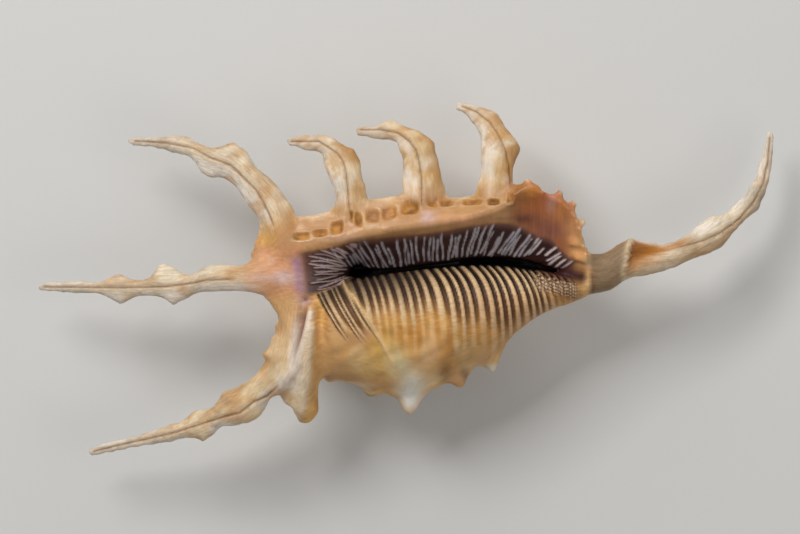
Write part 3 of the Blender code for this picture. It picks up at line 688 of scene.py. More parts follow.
# The streaks up the outer lip, each of its own length and strength.
lip_rib = np.zeros(len(x))
zone = np.flatnonzero((above > 0) & (y < top + 1) & (x > -17) & (x < 37) & (front > 0.1))
start_x, last_x = LIP_RIBS_SPAN
while start_x < last_x:
    apart = float(ease(23, 28, start_x))  # towards the canal they are short and stand apart
    lean = outline(LIP_RIBS_LEAN, start_x)[0] + chance.uniform(-0.1, 0.1)
    wide = (chance.uniform(0.24, 0.38) + 0.02 * apart) * np.hypot(1, lean)
    low = chance.uniform(0.2, 1.0) + apart * max(0.2, 3.2 - 0.55 * (start_x - 24.3))
    high = chance.uniform(0, 3.2) * chance.uniform(0, 1) * (1 - apart) + 0.2
    length = TO_THE_RIM if apart < 0.5 else chance.uniform(3.2, 4.2)
    strength = chance.uniform(0.65, 1.0)
    beat = chance.uniform(0, 6.28)
    u, v = x[zone], above[zone]
    path = start_x + lean * v + 0.12 * np.sin(1.1 * v + beat)
    streak = band(u - path, wide) * ease(low - 0.4, low + 0.5, v - half_slit[zone])
    streak *= ease(top[zone] + 0.4, top[zone] - 0.8, y[zone] + high)
    streak *= ease(low + length, low + length - 0.8, v)
    streak *= 1 - 0.3 * (1 - apart) * ease(0.1, 0.9, np.sin(1.5 * v + 2 * beat))
    lip_rib[zone] = np.maximum(lip_rib[zone], strength * streak)
    start_x += chance.uniform(0.75, 1.15) + 0.25 * apart
lift += LIP_RIB * lip_rib

# The fan round the hind end, which closes up as it reaches the deep spot.
fan_x, fan_y = x - DEEP_SPOT[0], y - DEEP_SPOT[1]
radius = np.hypot(fan_x, fan_y)
open_out = 0.3 + 0.7 * (1 - np.exp(-((radius / 6.0) ** 2)))
fan_rib = np.zeros(len(x))
zone = np.flatnonzero((fan_x < 0.6) & (radius < 13) & (y < top + 0.6) & (y > -4.2) & (front > 0.1))
level, last_level = FAN_SPAN
while level < last_level:
    near_end, far_end = chance.uniform(1.6, 4.2), 11.6 - chance.uniform(0, 2.6)
    wide, strength = chance.uniform(0.17, 0.24), chance.uniform(0.5, 0.95)
    far = fan_y[zone] - (level + 0.15 * np.sin(0.8 * radius[zone] + 4 * level)) * open_out[zone]
    streak = band(far, wide) * ease(near_end - 0.5, near_end + 1, radius[zone])
    streak *= ease(far_end + 0.6, far_end - 0.8, radius[zone])
    streak *= ease(top[zone], top[zone] - 0.8, y[zone])
    streak *= ease(-3.3, -2.5, y[zone] - 0.28 * (x[zone] + 21)) * ease(1.8, 0.6, fan_x[zone] + 1.2)
    fan_rib[zone] = np.maximum(fan_rib[zone], strength * streak)
    level += chance.uniform(0.7, 0.95)
lift += FAN_RIB * fan_rib


# --- Seams, pits and folds --------------------------------------------------------------------
# Marks that growth left: the seam down each finger, the row of small pits in the lip's plate, the
# creases and folds beside the hind flange, the open start of the canal, and the dark slit.
PITS = [  # x, y, half-length, half-width, depth, lean
    (-22.6, 9.4, 1.7, 0.75, 0.7, 0.05), (-18.6, 10.1, 1.4, 0.7, 0.8, 0.1),
    (-15.0, 11.2, 1.2, 1.25, 0.9, 0.2), (-11.8, 13.7, 0.3, 1.1, 0.6, 0),
    (-10.3, 13.0, 0.75, 1.4, 0.9, -0.3), (-7.4, 13.8, 1.35, 1.35, 0.8, 0.1),
    (-3.7, 14.7, 1.45, 1.5, 0.9, 0.15), (0.6, 15.6, 1.8, 1.25, 1.2, 0.05),
    (5.5, 16.7, 0.95, 0.85, 0.9, -0.1), (8.7, 16.5, 1.3, 0.55, 0.7, 0.1),
    (14.1, 16.7, 1.8, 0.5, 0.8, 0.05), (18.6, 16.8, 1.2, 0.6, 0.8, 0.05),
    (22.2, 17.5, 0.65, 0.95, 0.7, 0.1),
]
# Lines of (x, y) along the folds, from the opening's side.
LIP_EDGES = [
    [
        (-26, 16.5), (-24, 14.6), (-23, 13.8), (-20, 13.6), (-18, 14), (-16.5, 14.6), (-15.6, 16.5),
        (-15.4, 19),
    ],
    [(-9.4, 20.6), (-8.4, 18.4), (-7, 17.4), (-5, 17.1), (-3.5, 17.4), (-1.6, 18.8), (-0.8, 21)],
    [(8, 20), (9, 18.2), (11, 17.4), (12, 17.3), (13.5, 17.8), (15, 19.1), (15.8, 21)],
]
CREASE = [
    (-20.9, -4.4), (-22.3, -7.5), (-23.0, -11.3), (-23.7, -14.9), (-24.7, -18.3), (-26.2, -22.0),
]
PALE_FOLD = [
    (-20.3, -5.4), (-21.3, -9.8), (-22.3, -13.5), (-23.3, -16.7), (-25.2, -20.6), (-28, -23.5),
]
SECOND_FOLD = [
    (-19.9, -8.5), (-20.7, -12.0), (-21.1, -15.5), (-21.4, -19.0), (-22.0, -23.0), (-22.6, -27.5),
]
CANAL_FOLD = [(48.9, 9.4), (48.0, 7.2), (47.4, 3.4), (46.8, -0.2)]
CHANNEL = [(47, 5.7, 3.1), (52, 6.2, 2.1), (58, 7.7, 1.1), (64, 9.6, 0.5)]  # x, y, half-width
CHANNEL_DEPTH, CREASE_DEPTH, SEAM_DEPTH = 1.6, 0.8, 0.22
SPOT_DEPTH, SLIT_DEPTH, MAROON_DEPTH = 3.2, 2.0, 0.9  # how far down each dark floor goes

# The pits, each with a low wall round it, and the folded edges of the lip between the fingers.
pit, wall = np.zeros(len(x)), np.zeros(len(x))
for pit_x, pit_y, wide, tall, deep, lean in PITS:
    u, v = (x - pit_x) / wide, (y - pit_y - lean * (x - pit_x)) / tall
    hollow = np.exp(-(u**4 + v**4)) * front
    lift -= deep * hollow
    pit = np.maximum(pit, hollow)
    wall = np.maximum(wall, np.exp(-((u / 1.45) ** 6 + (v / 1.5) ** 6)) * front)
wall = np.clip(wall - 1.2 * pit, 0, 1)
lift += 0.22 * wall
edge = np.zeros(len(x))
for rows in LIP_EDGES:
    edge = np.maximum(edge, band(lane(rows, x, y)[0], 0.55) * ease(0.0, 0.3, facing))
lift += 0.35 * edge

# The seams: a fine groove between two low lips.
seam, seam_side = np.zeros(len(x)), np.zeros(len(x))
for rows in SEAMS.values():
    far, along = lane(rows, x, y)
    strength = ease(0, 0.08, along) * ease(-0.1, 0.3, facing)
    lift += strength * (0.1 * band(far - 0.7, 0.4) - SEAM_DEPTH * band(far, 0.26))
    seam = np.maximum(seam, strength * band(far, 0.19))
    seam_side = np.maximum(seam_side, strength * band(far, 1.1))

# The crease and the folds beside the hind flange, and the bare ridge of the columella.
far, along = lane(CREASE, x, y)
crease = band(far, 0.85) * front * ease(1.0, 0.4, along) * ease(0, 0.25, along)
lift -= CREASE_DEPTH * crease
far, along = lane(PALE_FOLD, x, y)
pale_fold = band(far, 0.75 + 0.5 * along) * front * ease(1.0, 0.7, along) * ease(0, 0.1, along)
lift += 0.55 * pale_fold
far, along = lane(SECOND_FOLD, x, y)
second_fold = band(far, 0.7 + 0.6 * along) * front * ease(0, 0.12, along)
lift += 0.5 * second_fold
far, along = lane(PLAIN_RIDGE, x, y)
plain_ridge = band(far, 0.5) * front * ease(1.0, 0.7, along)
lift += 0.5 * plain_ridge

# The canal: a raised fold across its start, and the open channel that narrows towards its tip.
fold_x = np.interp(y, [row[1] for row in CANAL_FOLD[::-1]], [row[0] for row in CANAL_FOLD[::-1]])
channel_x, *channel = zip(*CHANNEL)
channel_y, channel_half = (np.interp(x, channel_x, values) for values in channel)
open_canal = ease(0.0, 0.7, x - fold_x) * ease(64, 52, x) * ease(0, 0.3, facing)
lift -= CHANNEL_DEPTH * open_canal * band(y - channel_y, channel_half)
ochre = open_canal * band(y - channel_y - 0.5, 1.35 * channel_half)
fold = band(x - fold_x + 0.2, 0.6) * ease(0, 0.3, facing) * ease(-0.6, 0.6, y) * ease(10.5, 9, y)
lift += 0.35 * fold

# The dark floors: the deep spot and the slit, which are later painted black as shade where they drop
# into the shell, and the maroon end by the canal.
spot = band(radius, 1.7) * front
gap = shown * ease(half_slit + 0.5, half_slit - 0.1, np.abs(above)) * ease(-12, -11, x) * ease(30, 26, x)
maroon = front * ease(25, 30, x) * ease(39.5, 37.8, x)
maroon *= band(above - 0.1, 1.0 + 0.08 * np.clip(x - 28, 0, 9))

# Low growth folds on the whorl's plain side, and rougher ones along the fingers.
plain_side = ease(end + 1, end + 4, below) * ease(36, 30, x) * ease(-22, -18, x)
low_folds = np.sin(0.9 * x + 1.2 * np.sin(0.6 * y)) * np.sin(1.1 * y + 1.3 * np.sin(0.35 * x))
lift += 0.16 * plain_side * low_folds
outer = np.clip((1 - front) + front * ease(0.5, 1.5, np.abs(y - 2) - 18), 0, 1)
rough_folds = np.sin(1.9 * x + np.sin(1.3 * z)) * np.sin(1.7 * y + 1.5 * np.sin(0.7 * x))
lift += 0.1 * outer * rough_folds

points = points + out * lift[:, None]
points[:, 2] -= np.maximum.reduce([SPOT_DEPTH * spot, SLIT_DEPTH * gap, MAROON_DEPTH * maroon])
# The knobs that the shell lies on are worn flat at the table.
points[:, 2] = np.maximum(points[:, 2] - WEAR, 0)
put_points(skin, points)


# --- Pigment and painted light ----------------------------------------------------------------
# Colour laid down with the lime: cream fingers, an apricot lip, dark plum round the opening, and ochre
# over the whorl, with cream on the worn high parts. Each coat goes over the ones before it, and a few
# coats are painted light and shade rather than pigment.
WHORL_OCHRE = (222, 168, 96)
WHORL_STAIN = (150, 100, 42)
WHORL_CREAM = (240, 212, 160)
BACK_CREAM = (224, 206, 176)
BACK_STAIN = (170, 116, 66)
WHORL_CLOUDS_AND_KNOB_HIGHLIGHT = [  # x, y, x reach, y reach, red, green, blue, share
    (-15, -19, 6, 4, 206, 160, 112, 0.7), (-15.5, -12, 4, 4, 206, 164, 118, 0.6),
    (-8, -18.5, 4, 3, 218, 178, 112, 0.8), (-9.5, -11, 2.5, 3, 190, 140, 112, 0.7),
    (-4.5, -14, 3, 3.5, 212, 172, 84, 0.7), (1, -11.5, 5, 2.5, 206, 142, 62, 0.8),
    (-6, -22.5, 4, 1.2, 218, 160, 92, 0.7), (5.5, -16, 2.4, 4, 214, 160, 110, 0.7),
    (9, -14.5, 1.6, 3, 178, 120, 58, 0.7), (8.5, -19.5, 1.6, 2.2, 146, 100, 44, 0.9),
    (12.6, -20.6, 1.1, 1.8, 112, 76, 38, 0.9), (14.2, -17, 2.4, 2, 178, 134, 64, 0.8),
    # The pale patch at x 11.2, y -21.6 is a painted highlight on the small knob of the plain side.
    (11.2, -21.6, 1.5, 1.0, 220, 164, 112, 0.9), (17.5, -15.5, 3.5, 2.5, 214, 170, 104, 0.7),
    (18.8, -19.2, 2, 1.1, 234, 224, 204, 0.95), (25, -8.5, 5, 3, 186, 132, 58, 0.7),
    (-1.5, -18.5, 2.2, 3, 222, 206, 160, 0.85), (1.4, -22.5, 2.8, 3.6, 226, 216, 192, 0.95),
    (0.8, -25.6, 2.2, 3.0, 242, 238, 228, 1.0), (-10, -22.8, 3, 0.9, 228, 200, 168, 0.7),
]


def tint(red, green, blue):
    """A colour from 0 to 255 per channel, as light."""
    shade = np.array([red, green, blue]) / 255
    return np.where(shade < 0.04045, shade / 12.92, ((shade + 0.055) / 1.055) ** 2.4)


def cloud(scale, seed, waves=9):
    """A smooth random share from 0 to 1 over the shell, with patches about scale millimetres wide."""
    rng = np.random.default_rng(seed)
    total = np.zeros(len(x))
    for _ in range(waves):
        way = rng.normal(size=3) / scale * 1.6
        total += np.sin(points @ way + rng.uniform(0, 6.28))
    return np.clip(0.5 + total / 8, 0, 1)


def paint(colour, where):
    """Lays a colour over the colour so far, by the share in where."""
    share = np.clip(where, 0, 1)[:, None]
    pigment_and_painted_light[:] = pigment_and_painted_light * (1 - share) + tint(*colour) * share


def patches(rows, where):
    """Paints soft patches from rows such as those of WHORL_CLOUDS_AND_KNOB_HIGHLIGHT, inside where."""
    for patch_x, patch_y, wide, tall, *colour, share in rows:
        away = ((x - patch_x) / wide) ** 2 + ((y - patch_y) / tall) ** 2
        paint(colour, share * where * np.exp(-away))


x, y, z = points.T
pigment_and_painted_light = np.tile(tint(*WHORL_OCHRE), (len(x), 1))
behind = 1 - front
paint(BACK_CREAM, 0.9 * behind * ease(0.3, 0.75, cloud(9, 1)))
paint(BACK_STAIN, 0.55 * behind * ease(0.55, 0.9, cloud(5, 2)))
paint(WHORL_STAIN, 0.5 * plain_side * ease(0.5, 0.85, cloud(2.6, 15)))
paint(WHORL_CREAM, 0.55 * plain_side * ease(0.5, 0.85, cloud(3.2, 16)))
patches(WHORL_CLOUDS_AND_KNOB_HIGHLIGHT, ease(-0.4, 0.2, facing))

# How far along a finger each point is, and to which side of its middle. The growth lines run
# lengthwise on a finger, and round the turn on the whorl.
finger = np.zeros(len(x))
finger_tip = np.zeros(len(x))
side_of = np.zeros(len(x))
turned = np.degrees(np.arctan2(z - BODY_TURN[1], y - BODY_TURN[0]))
grain = np.column_stack([0.25 * turned, 0.3 * x, np.zeros(len(x))])
for rows in FINGERS.values():
    place, values = finger_spine(rows, step=1.2)
    close, where, side = np.full(len(x), 1e9), np.zeros(len(x)), np.zeros(len(x))
    ways = np.gradient(values[:, :3], axis=0)
    for at, row, way in zip(place, values, ways / np.linalg.norm(ways, axis=1)[:, None]):
        off = points - row[:3] + [0, 0, WEAR]
        far = np.linalg.norm(off, axis=1) / max(row[3], row[4], row[5])
        nearer = far < close
        where = np.where(nearer, at, where)
        side = np.where(nearer, off[:, 1] * way[0] - off[:, 0] * way[1], side)
        close = np.minimum(close, far)
    share = ease(1.9, 1.2, close) * ease(3, 10, where)
    mine = share > finger
    lengthwise = np.column_stack([1.5 * side, 0.22 * where, 0.5 * z])
    grain = np.where(mine[:, None], lengthwise, grain)
    side_of = np.where(mine, side, side_of)
    finger = np.maximum(finger, share)
    finger_tip = np.maximum(finger_tip, share * where / place[-1])

# The lip's band and the hind flange.
LIP_APRICOT = (196, 147, 99)
LIP_TAN = (194, 136, 84)
HIND_APRICOT = (212, 152, 106)
FLANGE_TAN = (216, 168, 112)
FLANGE_CREAM = (228, 204, 162)
lip_band = front * ease(top - 0.5, top + 0.5, y) * ease(-30, -26, x) * ease(38, 34, x)
paint(LIP_APRICOT, lip_band)
paint(LIP_TAN, 0.7 * lip_band * ease(0.45, 0.75, cloud(3, 6)) * ease(2, 5, y - top))
hind = front * ease(-21.5, -23.5, x) * ease(9, 6, y) * ease(-42, -32, x)
paint(HIND_APRICOT, hind)
flange = front * ease(-18.5, -21.5, x - 0.1 * y) * ease(-2, -5, y)
paint(FLANGE_TAN, flange)
paint(FLANGE_CREAM, 0.8 * flange * ease(-8, -22, y) * ease(0.2, 0.6, cloud(4, 7)))

# The fingers: one side darker, part stain and part painted shade, the other paler, part wear and part
# painted light. The three upper ones are the more stained.
FINGER_CREAM = (226, 208, 180)
FINGER_GOLD = (214, 182, 134)
FINGER_SHADE = (182, 134, 76)
FINGER_PALE_AND_LIT = (236, 224, 210)
FINGER_STAIN = (204, 150, 84)
TIP_PALE = (232, 224, 210)
SEAM_STAIN = (182, 140, 92)
CANAL_CLOUDS_AND_SHOULDER_LIGHT = [
    (59, 8.0, 4, 1.4, 160, 116, 62, 0.7), (76, 17.5, 3, 3, 172, 154, 126, 0.6),
    # The last row is painted light: it lightens the shoulder knob by the sixth finger, where that knob
    # lies in shade.
    (-22.2, -24, 2.6, 5, 236, 212, 176, 0.6),
]
golden = ease(-20, -14, x) * ease(31, 27, x)
paint(FINGER_CREAM, finger * (1 - 0.6 * hind) * (1 - 0.5 * flange))
paint(FINGER_GOLD, 0.8 * finger * golden * ease(0.3, 0.7, cloud(4, 14)))
# Painted shade over a real stain: the side of each finger away from the lamps is darkened.
shaded = ease(-0.2, 1.6, -side_of) * ease(0.2, 0.65, cloud(3, 3))
paint(FINGER_SHADE, (0.6 + 0.3 * golden) * finger * shaded)
# Painted light over real wear: the side of each finger towards the lamps is made paler.
paint(FINGER_PALE_AND_LIT, 0.75 * finger * ease(0.3, 1.6, side_of) * ease(0.2, 0.5, cloud(4, 8)))
paint(FINGER_STAIN, 0.5 * finger * ease(0.7, 0.9, cloud(3, 9)))
paint(TIP_PALE, 0.8 * finger * ease(0.55, 1.0, finger_tip))
paint(SEAM_STAIN, 0.35 * seam_side * finger)
patches(CANAL_CLOUDS_AND_SHOULDER_LIGHT, finger)

# The flare: brown at its root, orange to its rim, with pale teeth and fine drawn lines.
FLARE_BROWN = (176, 106, 64)
FLARE_ORANGE = (232, 170, 108)
FLARE_LINE_PALE = (210, 152, 120)
FLARE_LINE_DARK = (112, 66, 48)
FLARE_CLOUDS = [
    (26.5, 19.3, 3.2, 2.2, 190, 128, 54, 0.9), (24, 19.5, 1.6, 2, 128, 84, 40, 0.6),
    (29, 16.8, 3, 2.6, 180, 102, 52, 0.85), (31.2, 16.2, 1.3, 2.2, 198, 150, 138, 0.8),
    (33.4, 15.8, 1.6, 2.4, 194, 120, 60, 0.8), (31, 11.0, 4.0, 2.6, 124, 78, 72, 0.8),
    (24.5, 13.2, 3.4, 1.4, 84, 54, 48, 0.8), (32.8, 14.2, 2.4, 2.6, 204, 130, 74, 0.6),
    (35.4, 11.5, 1.6, 4, 222, 158, 104, 0.7), (24, 17.0, 2.2, 1.6, 168, 106, 56, 0.8),
    (38.6, 12.3, 1.0, 1.2, 228, 214, 184, 0.9), (38.6, 8.2, 0.9, 0.9, 222, 206, 176, 0.9),
    (39.4, 3.9, 1.0, 1.4, 222, 196, 152, 0.9), (33.5, 19.2, 0.7, 0.9, 224, 204, 172, 0.8),
    (36.5, 16.9, 0.7, 0.9, 224, 204, 172, 0.8), (25.8, 21.8, 0.8, 0.7, 224, 204, 172, 0.8),
]
wing = front * ease(20.5, 25, x) * ease(40.5, 39.5, x) * ease(0.5, 3, above) * ease(23.6, 22.2, y)
paint(FLARE_BROWN, wing)
paint(FLARE_ORANGE, wing * ease(34.2, 36.8, x + 0.12 * (10 - y)))
patches(FLARE_CLOUDS, wing)
drawn = 0.5 + 0.25 * np.sin(3.1 * x + 0.4 * y)
drawn += 0.25 * np.sin(7.3 * x - 0.2 * y + 2 * np.sin(0.9 * x))
paint(FLARE_LINE_PALE, 0.1 * wing * ease(0.45, 1.0, drawn))
paint(FLARE_LINE_DARK, 0.18 * wing * ease(0.45, 0.0, drawn) * ease(0.3, 0.8, cloud(3, 17)))

# The opening: brown at the rim, plum below it, and a lilac and pink edge.
RIM_BROWN = (122, 82, 68)
PLUM = (54, 28, 25)
HIND_LILAC = (160, 122, 146)
PINK_CLOUDS = [
    (-26.5, 0.6, 2.6, 1.5, 218, 190, 188, 0.8), (-31.5, 0.6, 2, 0.6, 222, 196, 190, 0.6),
    (4.5, 13.5, 1.6, 1.3, 212, 180, 180, 0.8), (12, 12.8, 5, 1.0, 226, 162, 122, 0.6),
    (-13, 9, 5, 0.8, 214, 170, 144, 0.5), (-22, -4.4, 1.6, 1.2, 206, 170, 170, 0.8),
]
plum = shown * ease(top + 0.5, top - 0.7, y)
plum *= ease(-23.6, -21.0, x + 0.12 * y) * ease(37.8, 35.0, x)
plum *= ease(-1.0, 0.3, above + 6 * ease(-12, -13.5, x))
plum *= ease(-3.8, -2.4, y - 0.28 * np.clip(x + 21, 0, 8))
paint(RIM_BROWN, plum)
paint(PLUM, plum * ease(top + 0.1, top - 2.0, y) * ease(-24, -18, x) * ease(37, 30, x - 0.2 * y))
hind_edge = band(x + 0.12 * y + 23.2, 1.2) * ease(-4.2, -1.6, y) * ease(6.6, 3.6, y)
paint(HIND_LILAC, 0.8 * front * hind_edge)
patches(PINK_CLOUDS, front * (1 - pit))

# The columella: dark between the ribs, cream on them, and both fading into the whorl's ochre.
COLUMELLA_TAN = (168, 118, 66)
GROOVE_BROWN = (118, 76, 40)
GROOVE_BLACK = (24, 12, 7)
RIB_CREAM = (214, 182, 138)
RIB_SHADOW = (58, 44, 38)
RIB_ROSE = (216, 160, 118)
TAIL_BROWN = (176, 120, 56)
TAIL_CREAM = (232, 204, 156)
RIDGE_CREAM = (228, 190, 134)
worn = ease(0.15, 1.0, below / np.maximum(end, 1))
paint(COLUMELLA_TAN, 0.75 * columella_zone * fade)
paint(GROOVE_BROWN, 0.85 * ease(0.15, 0.6, groove))
paint(GROOVE_BLACK, (1 - 0.7 * worn) * ease(0.34, 0.64, groove))
paint(RIB_CREAM, ease(0.5, 0.8, wave) * ease(0.05, 0.5, fade))
shadow = 0.85 * ease(10, 0.5, below) * ease(9, -3, x)
shadow += 0.45 * ease(4, 0.3, below) * ease(-3, 9, x)
paint(RIB_SHADOW, shadow * columella_zone * fade)
rib_tail = main_zone * ease(end - 5, end, below) * ease(end + 8, end + 2, below)
paint(TAIL_BROWN, 0.5 * rib_tail * ease(0.7, 0.2, wave))
paint(TAIL_CREAM, 0.25 * rib_tail * ease(0.6, 0.95, wave))
paint(RIB_ROSE, 0.35 * main_zone * ease(0.4, 0.8, wave) * ease(8, 16, x) * ease(4, 9, below))

# The beads by the canal, on ochre, and the pale ridge between the two groups of ribs.
BEAD_OCHRE = (178, 118, 46)
BEAD_GAP = (96, 58, 32)
BEAD_CREAM = (212, 186, 152)
paint(BEAD_OCHRE, 0.85 * front * band(x - 34, 4) * band(below - 4.5, 1.6))
beads = front * ease(26.5, 29, x) * ease(38, 36, x) * ease(0.9, 1.5, below) * ease(5.4, 4.2, below)
paint(BEAD_GAP, 0.8 * beads)
bead_rows = np.sin(6.0 * (x - 0.8 * below) + np.sin(2.3 * x))
bead_rows *= np.cos(4.4 * (x + below) + np.sin(3.1 * x))
paint(BEAD_CREAM, beads * ease(0.45, 0.85, 0.5 + 0.5 * bead_rows))
paint(RIDGE_CREAM, 0.9 * plain_ridge)

# The streaks of the lip and the ribs of the fan, then the slit and the hollow behind it, painted black
# as shade, with their maroon end.
LIP_RIB_GREY = (156, 148, 152)
LIP_RIB_PALE = (222, 200, 196)
FAN_RIB_GREY = (180, 156, 152)
FAN_GAP = (62, 38, 38)
SLIT_SHADE_BLACK = (12, 8, 10)
SLIT_MAROON = (62, 18, 22)
HOLLOW_SHADE_BLACK = (14, 8, 9)
HOLLOW_MAROON = (46, 16, 19)
paint(LIP_RIB_GREY, 1.1 * ease(0.2, 0.7, lip_rib))
paint(FAN_RIB_GREY, 0.95 * ease(0.2, 0.75, fan_rib))
paint(FAN_GAP, 0.6 * ease(0.02, 0.12, fan_rib) * ease(0.3, 0.12, fan_rib))
paint(LIP_RIB_PALE, 0.8 * ease(0.3, 0.8, lip_rib) * ease(25, 30, x))
# Painted shade: the slit and the deep spot are painted black where they drop into the shell.
paint(SLIT_SHADE_BLACK, gap)
paint(SLIT_MAROON, maroon)
paint(SLIT_SHADE_BLACK, ease(0.2, 0.6, spot))
# Painted shade: the hollow behind the slit is painted black, turning to the shell's maroon towards the
# canal.
hollow_roof = outline(INNER_Z, x) - WEAR - 0.9
hollow_floor = hollow_roof - 0.65 * (hollow_roof - outline(BACK_Z, x))
inside = (x > -14) & (x < 40) & (np.abs(above - 0.8) < 4.2) & (z > hollow_floor) & (z < hollow_roof)
paint(HOLLOW_SHADE_BLACK, inside * ease(31, 28, x))
paint(HOLLOW_MAROON, inside * ease(28, 31, x))

# The seams, pits, creases and folds, and the canal's open start.
WALL_CREAM_AND_EDGE_HIGHLIGHT = (232, 206, 166)
FRECKLE_OCHRE = (190, 140, 76)
PIT_OCHRE = (190, 132, 58)
PIT_BROWN = (128, 82, 38)
PIT_TAN = (192, 142, 100)
SEAM_BROWN = (132, 94, 58)
CREASE_BROWN = (134, 90, 74)
FOLD_PALE = (232, 214, 196)
FOLD_CREAM = (226, 208, 178)
CANAL_BROWN = (142, 116, 86)
CANAL_STAIN = (120, 80, 46)
CANAL_CREAM = (222, 196, 158)
CHANNEL_OCHRE = (198, 130, 50)
CHANNEL_BROWN_AND_FOLD_SHADOW = (122, 68, 14)
# Pale walls round the pits, and a painted highlight along the folded edges of the lip between the
# fingers.
paint(WALL_CREAM_AND_EDGE_HIGHLIGHT, 0.5 * wall * ease(0.3, 0.7, cloud(2, 10)) + 0.7 * edge)
plate = front * ease(-28, -24, x) * ease(26, 22, x) * ease(2.2, 3.6, y - top)
paint(FRECKLE_OCHRE, 0.5 * plate * ease(0.5, 0.8, cloud(1.6, 13)))
paint(PIT_OCHRE, 0.95 * pit)
paint(PIT_BROWN, 0.8 * pit * ease(0.35, 0.75, cloud(1.3, 12)))
paint(PIT_TAN, 0.7 * pit * band(x + 5.6, 2.6))
paint(SEAM_BROWN, 0.8 * seam)
paint(CREASE_BROWN, 0.95 * crease)
paint(FOLD_PALE, 0.9 * pale_fold)
paint(FOLD_CREAM, 0.75 * second_fold)
canal_start = ease(38.8, 40.6, x) * ease(0.4, -0.6, x - fold_x) * ease(12, 9, y)
paint(CANAL_BROWN, canal_start * ease(-0.2, 0.4, facing))
paint(CANAL_STAIN, 0.8 * front * band(x - 40.2, 0.5) * ease(3, 0.5, y))
paint(CHANNEL_OCHRE, 1.15 * ochre)
# Part the channel's own brown, part painted shadow: it is darkest right beside the canal's fold and
# lightens over 8 mm.
paint(CHANNEL_BROWN_AND_FOLD_SHADOW, 0.95 * ease(8.0, 0.8, x - fold_x) * ochre)
paint(CANAL_CREAM, 0.8 * fold)


def keep(name, kind, field, values):
    """Stores a value for each point of the skin, for the finish to read by this name."""
    skin.attributes.new(name, kind, "POINT")
    skin.attributes[name].data.foreach_set(field, values.ravel())


keep("pigment_and_painted_light", "FLOAT_COLOR", "color", np.column_stack([pigment_and_painted_light, np.ones(len(x))]))
keep("grain", "FLOAT_VECTOR", "vector", grain)
glaze = [0.9 * plum, 0.15 * columella_zone, 0.7 * lip_band, 0.8 * wing, 0.4 * hind]
glaze = np.maximum.reduce(glaze) * (1 - pit) * (1 - gap) * (1 - maroon) * (1 - inside)
keep("glaze", "FLOAT", "value", np.clip(glaze - 0.7 * finger, 0, 1))
keep("streaks", "FLOAT", "value", np.clip(1 - 0.8 * glaze - 0.7 * plain_side, 0.15, 1))


# --- Lime finish ------------------------------------------------------------------------------
# Layered lime: glossy enamel round the opening, and a duller outer coat with fine growth lines, chalky
# pores and stains. The coats of pigment and painted light and shade give its colour, and the glaze its
# gloss.
lime = bpy.data.materials.new("shell_lime")
lime.use_nodes = True
nodes, links = lime.node_tree.nodes, lime.node_tree.links
surface = nodes["Principled BSDF"]


def node(kind, **settings):
    """A new node with these settings and input values."""
    made = nodes.new(kind)
    for name, value in settings.items():
        if name in made.inputs:
            made.inputs[name].default_value = value
        else:
            setattr(made, name, value)
    return made


def kept(name, output="Fac"):
    """What the skin's points hold under this name."""
    return node("ShaderNodeAttribute", attribute_name=name).outputs[output]


def noise(place, **settings):
    """Fractal noise from 0 to 1 at a place."""
    made = node("ShaderNodeTexNoise", **settings)
    links.new(place, made.inputs["Vector"])
    return made.outputs["Fac"]


def spread(value, low, high, start=0.0, end=1.0):
    """The value, with its range from start to end stretched to run from low to high."""
    ranges = {"From Min": start, "From Max": end, "To Min": low, "To Max": high}
    made = node("ShaderNodeMapRange", **ranges)
    links.new(value, made.inputs["Value"])
    return made.outputs["Result"]


def bump(height, strength, distance):
    """A fine relief that follows the height, up to distance metres tall."""
    made = node("ShaderNodeBump", Strength=strength, Distance=distance)
    links.new(height, made.inputs["Height"])
    return made


here = node("ShaderNodeTexCoord").outputs["Object"]
growth_lines = noise(kept("grain", "Vector"), Scale=1.7, Detail=6.0, Roughness=0.7)
chalk = noise(here, Scale=1100.0, Detail=5.0, Roughness=0.65)
stain = noise(here, Scale=190.0, Detail=5.0, Roughness=0.65, Distortion=0.5)

growth_share = node("ShaderNodeMix", data_type="FLOAT")
growth_share.inputs[2].default_value = 1.0
links.new(kept("streaks"), growth_share.inputs[0])
links.new(spread(growth_lines, 0.66, 1.2, 0.3, 0.7), growth_share.inputs[3])
tone = node("ShaderNodeMath", operation="MULTIPLY")
links.new(growth_share.outputs[0], tone.inputs[0])
links.new(spread(stain, 0.84, 1.1, 0.3, 0.7), tone.inputs[1])
toned = node("ShaderNodeVectorMath", operation="SCALE")
links.new(kept("pigment_and_painted_light", "Color"), toned.inputs[0])
links.new(tone.outputs["Value"], toned.inputs["Scale"])
links.new(toned.outputs["Vector"], surface.inputs["Base Color"])

glaze_kept = kept("glaze")
links.new(spread(glaze_kept, 0.52, 0.3), surface.inputs["Roughness"])
links.new(spread(glaze_kept, 0.0, 0.2), surface.inputs["Coat Weight"])
surface.inputs["Coat Roughness"].default_value = 0.18
surface.inputs["Specular IOR Level"].default_value = 0.27
surface.inputs["Subsurface Weight"].default_value = 0.1
surface.inputs["Subsurface Radius"].default_value = (1.0, 0.6, 0.4)
surface.inputs["Subsurface Scale"].default_value = 0.0015

growth_bump = bump(growth_lines, 0.25, 0.0003)
pores = bump(chalk, 0.2, 0.0002)
links.new(growth_bump.outputs["Normal"], pores.inputs["Normal"])
links.new(pores.outputs["Normal"], surface.inputs["Normal"])

shell = bpy.data.objects.new("conch_shell", skin)
bpy.context.scene.collection.objects.link(shell)
skin.materials.clear()
skin.materials.append(lime)
skin.shade_smooth()
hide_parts("shell")
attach(shell, "root")


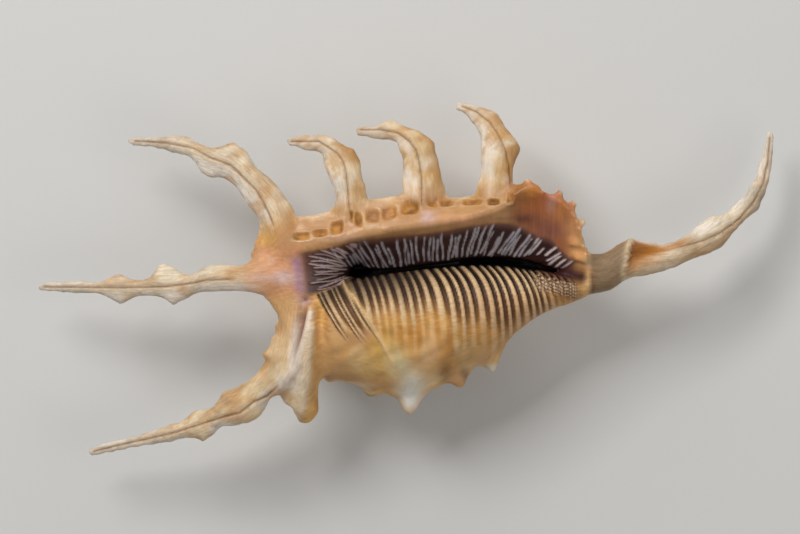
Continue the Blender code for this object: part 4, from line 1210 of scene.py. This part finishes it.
# --- Table, lamps and camera ------------------------------------------------------------------
# A plain pale table under soft studio lamps, seen from straight above with a long lens.
TABLE_REACH = 2.0  # metres from the middle of the table to its edge
TABLE_PALE = (0.62, 0.61, 0.59, 1)
LAMPS = {  # place in metres, size in metres, watts
    "key": ((-0.35, 0.45, 0.7), 0.35, 5.2),
    "fill": ((0.5, -0.2, 0.8), 0.6, 2.0),
    "rim": ((0.1, 0.7, 0.35), 0.3, 1.2),
}
ROOM_LIGHT = 0.22
CAMERA_PLACE = (-1.42 * MM, 2.84 * MM, 1.2)
CAMERA_LENS = 245

table_mesh = bmesh.new()
bmesh.ops.create_grid(table_mesh, size=TABLE_REACH)
table_data = bpy.data.meshes.new("table_top")
table_mesh.to_mesh(table_data)
table_mesh.free()
table = bpy.data.objects.new("table_top", table_data)
bpy.context.scene.collection.objects.link(table)
pale = bpy.data.materials.new("pale_table")
pale.use_nodes = True
pale.node_tree.nodes["Principled BSDF"].inputs["Base Color"].default_value = TABLE_PALE
pale.node_tree.nodes["Principled BSDF"].inputs["Roughness"].default_value = 0.8
table_data.materials.append(pale)

for name, (place, size, watts) in LAMPS.items():
    lamp_data = bpy.data.lights.new(name, "AREA")
    lamp_data.size = size
    lamp_data.energy = watts
    lamp = bpy.data.objects.new(name, lamp_data)
    lamp.location = place
    lamp.rotation_euler = (-lamp.location).to_track_quat("-Z", "Y").to_euler()
    bpy.context.scene.collection.objects.link(lamp)
room = bpy.data.worlds.new("studio")
room.use_nodes = True
room.node_tree.nodes["Background"].inputs["Color"].default_value = (1, 1, 1, 1)
room.node_tree.nodes["Background"].inputs["Strength"].default_value = ROOM_LIGHT
bpy.context.scene.world = room
bpy.context.scene.view_settings.view_transform = "Standard"

camera_data = bpy.data.cameras.new("camera")
camera_data.lens = CAMERA_LENS
camera_data.clip_start = 0.1
camera = bpy.data.objects.new("camera", camera_data)
camera.location = CAMERA_PLACE
bpy.context.scene.collection.objects.link(camera)
bpy.context.scene.camera = camera

bpy.context.view_layer.update()
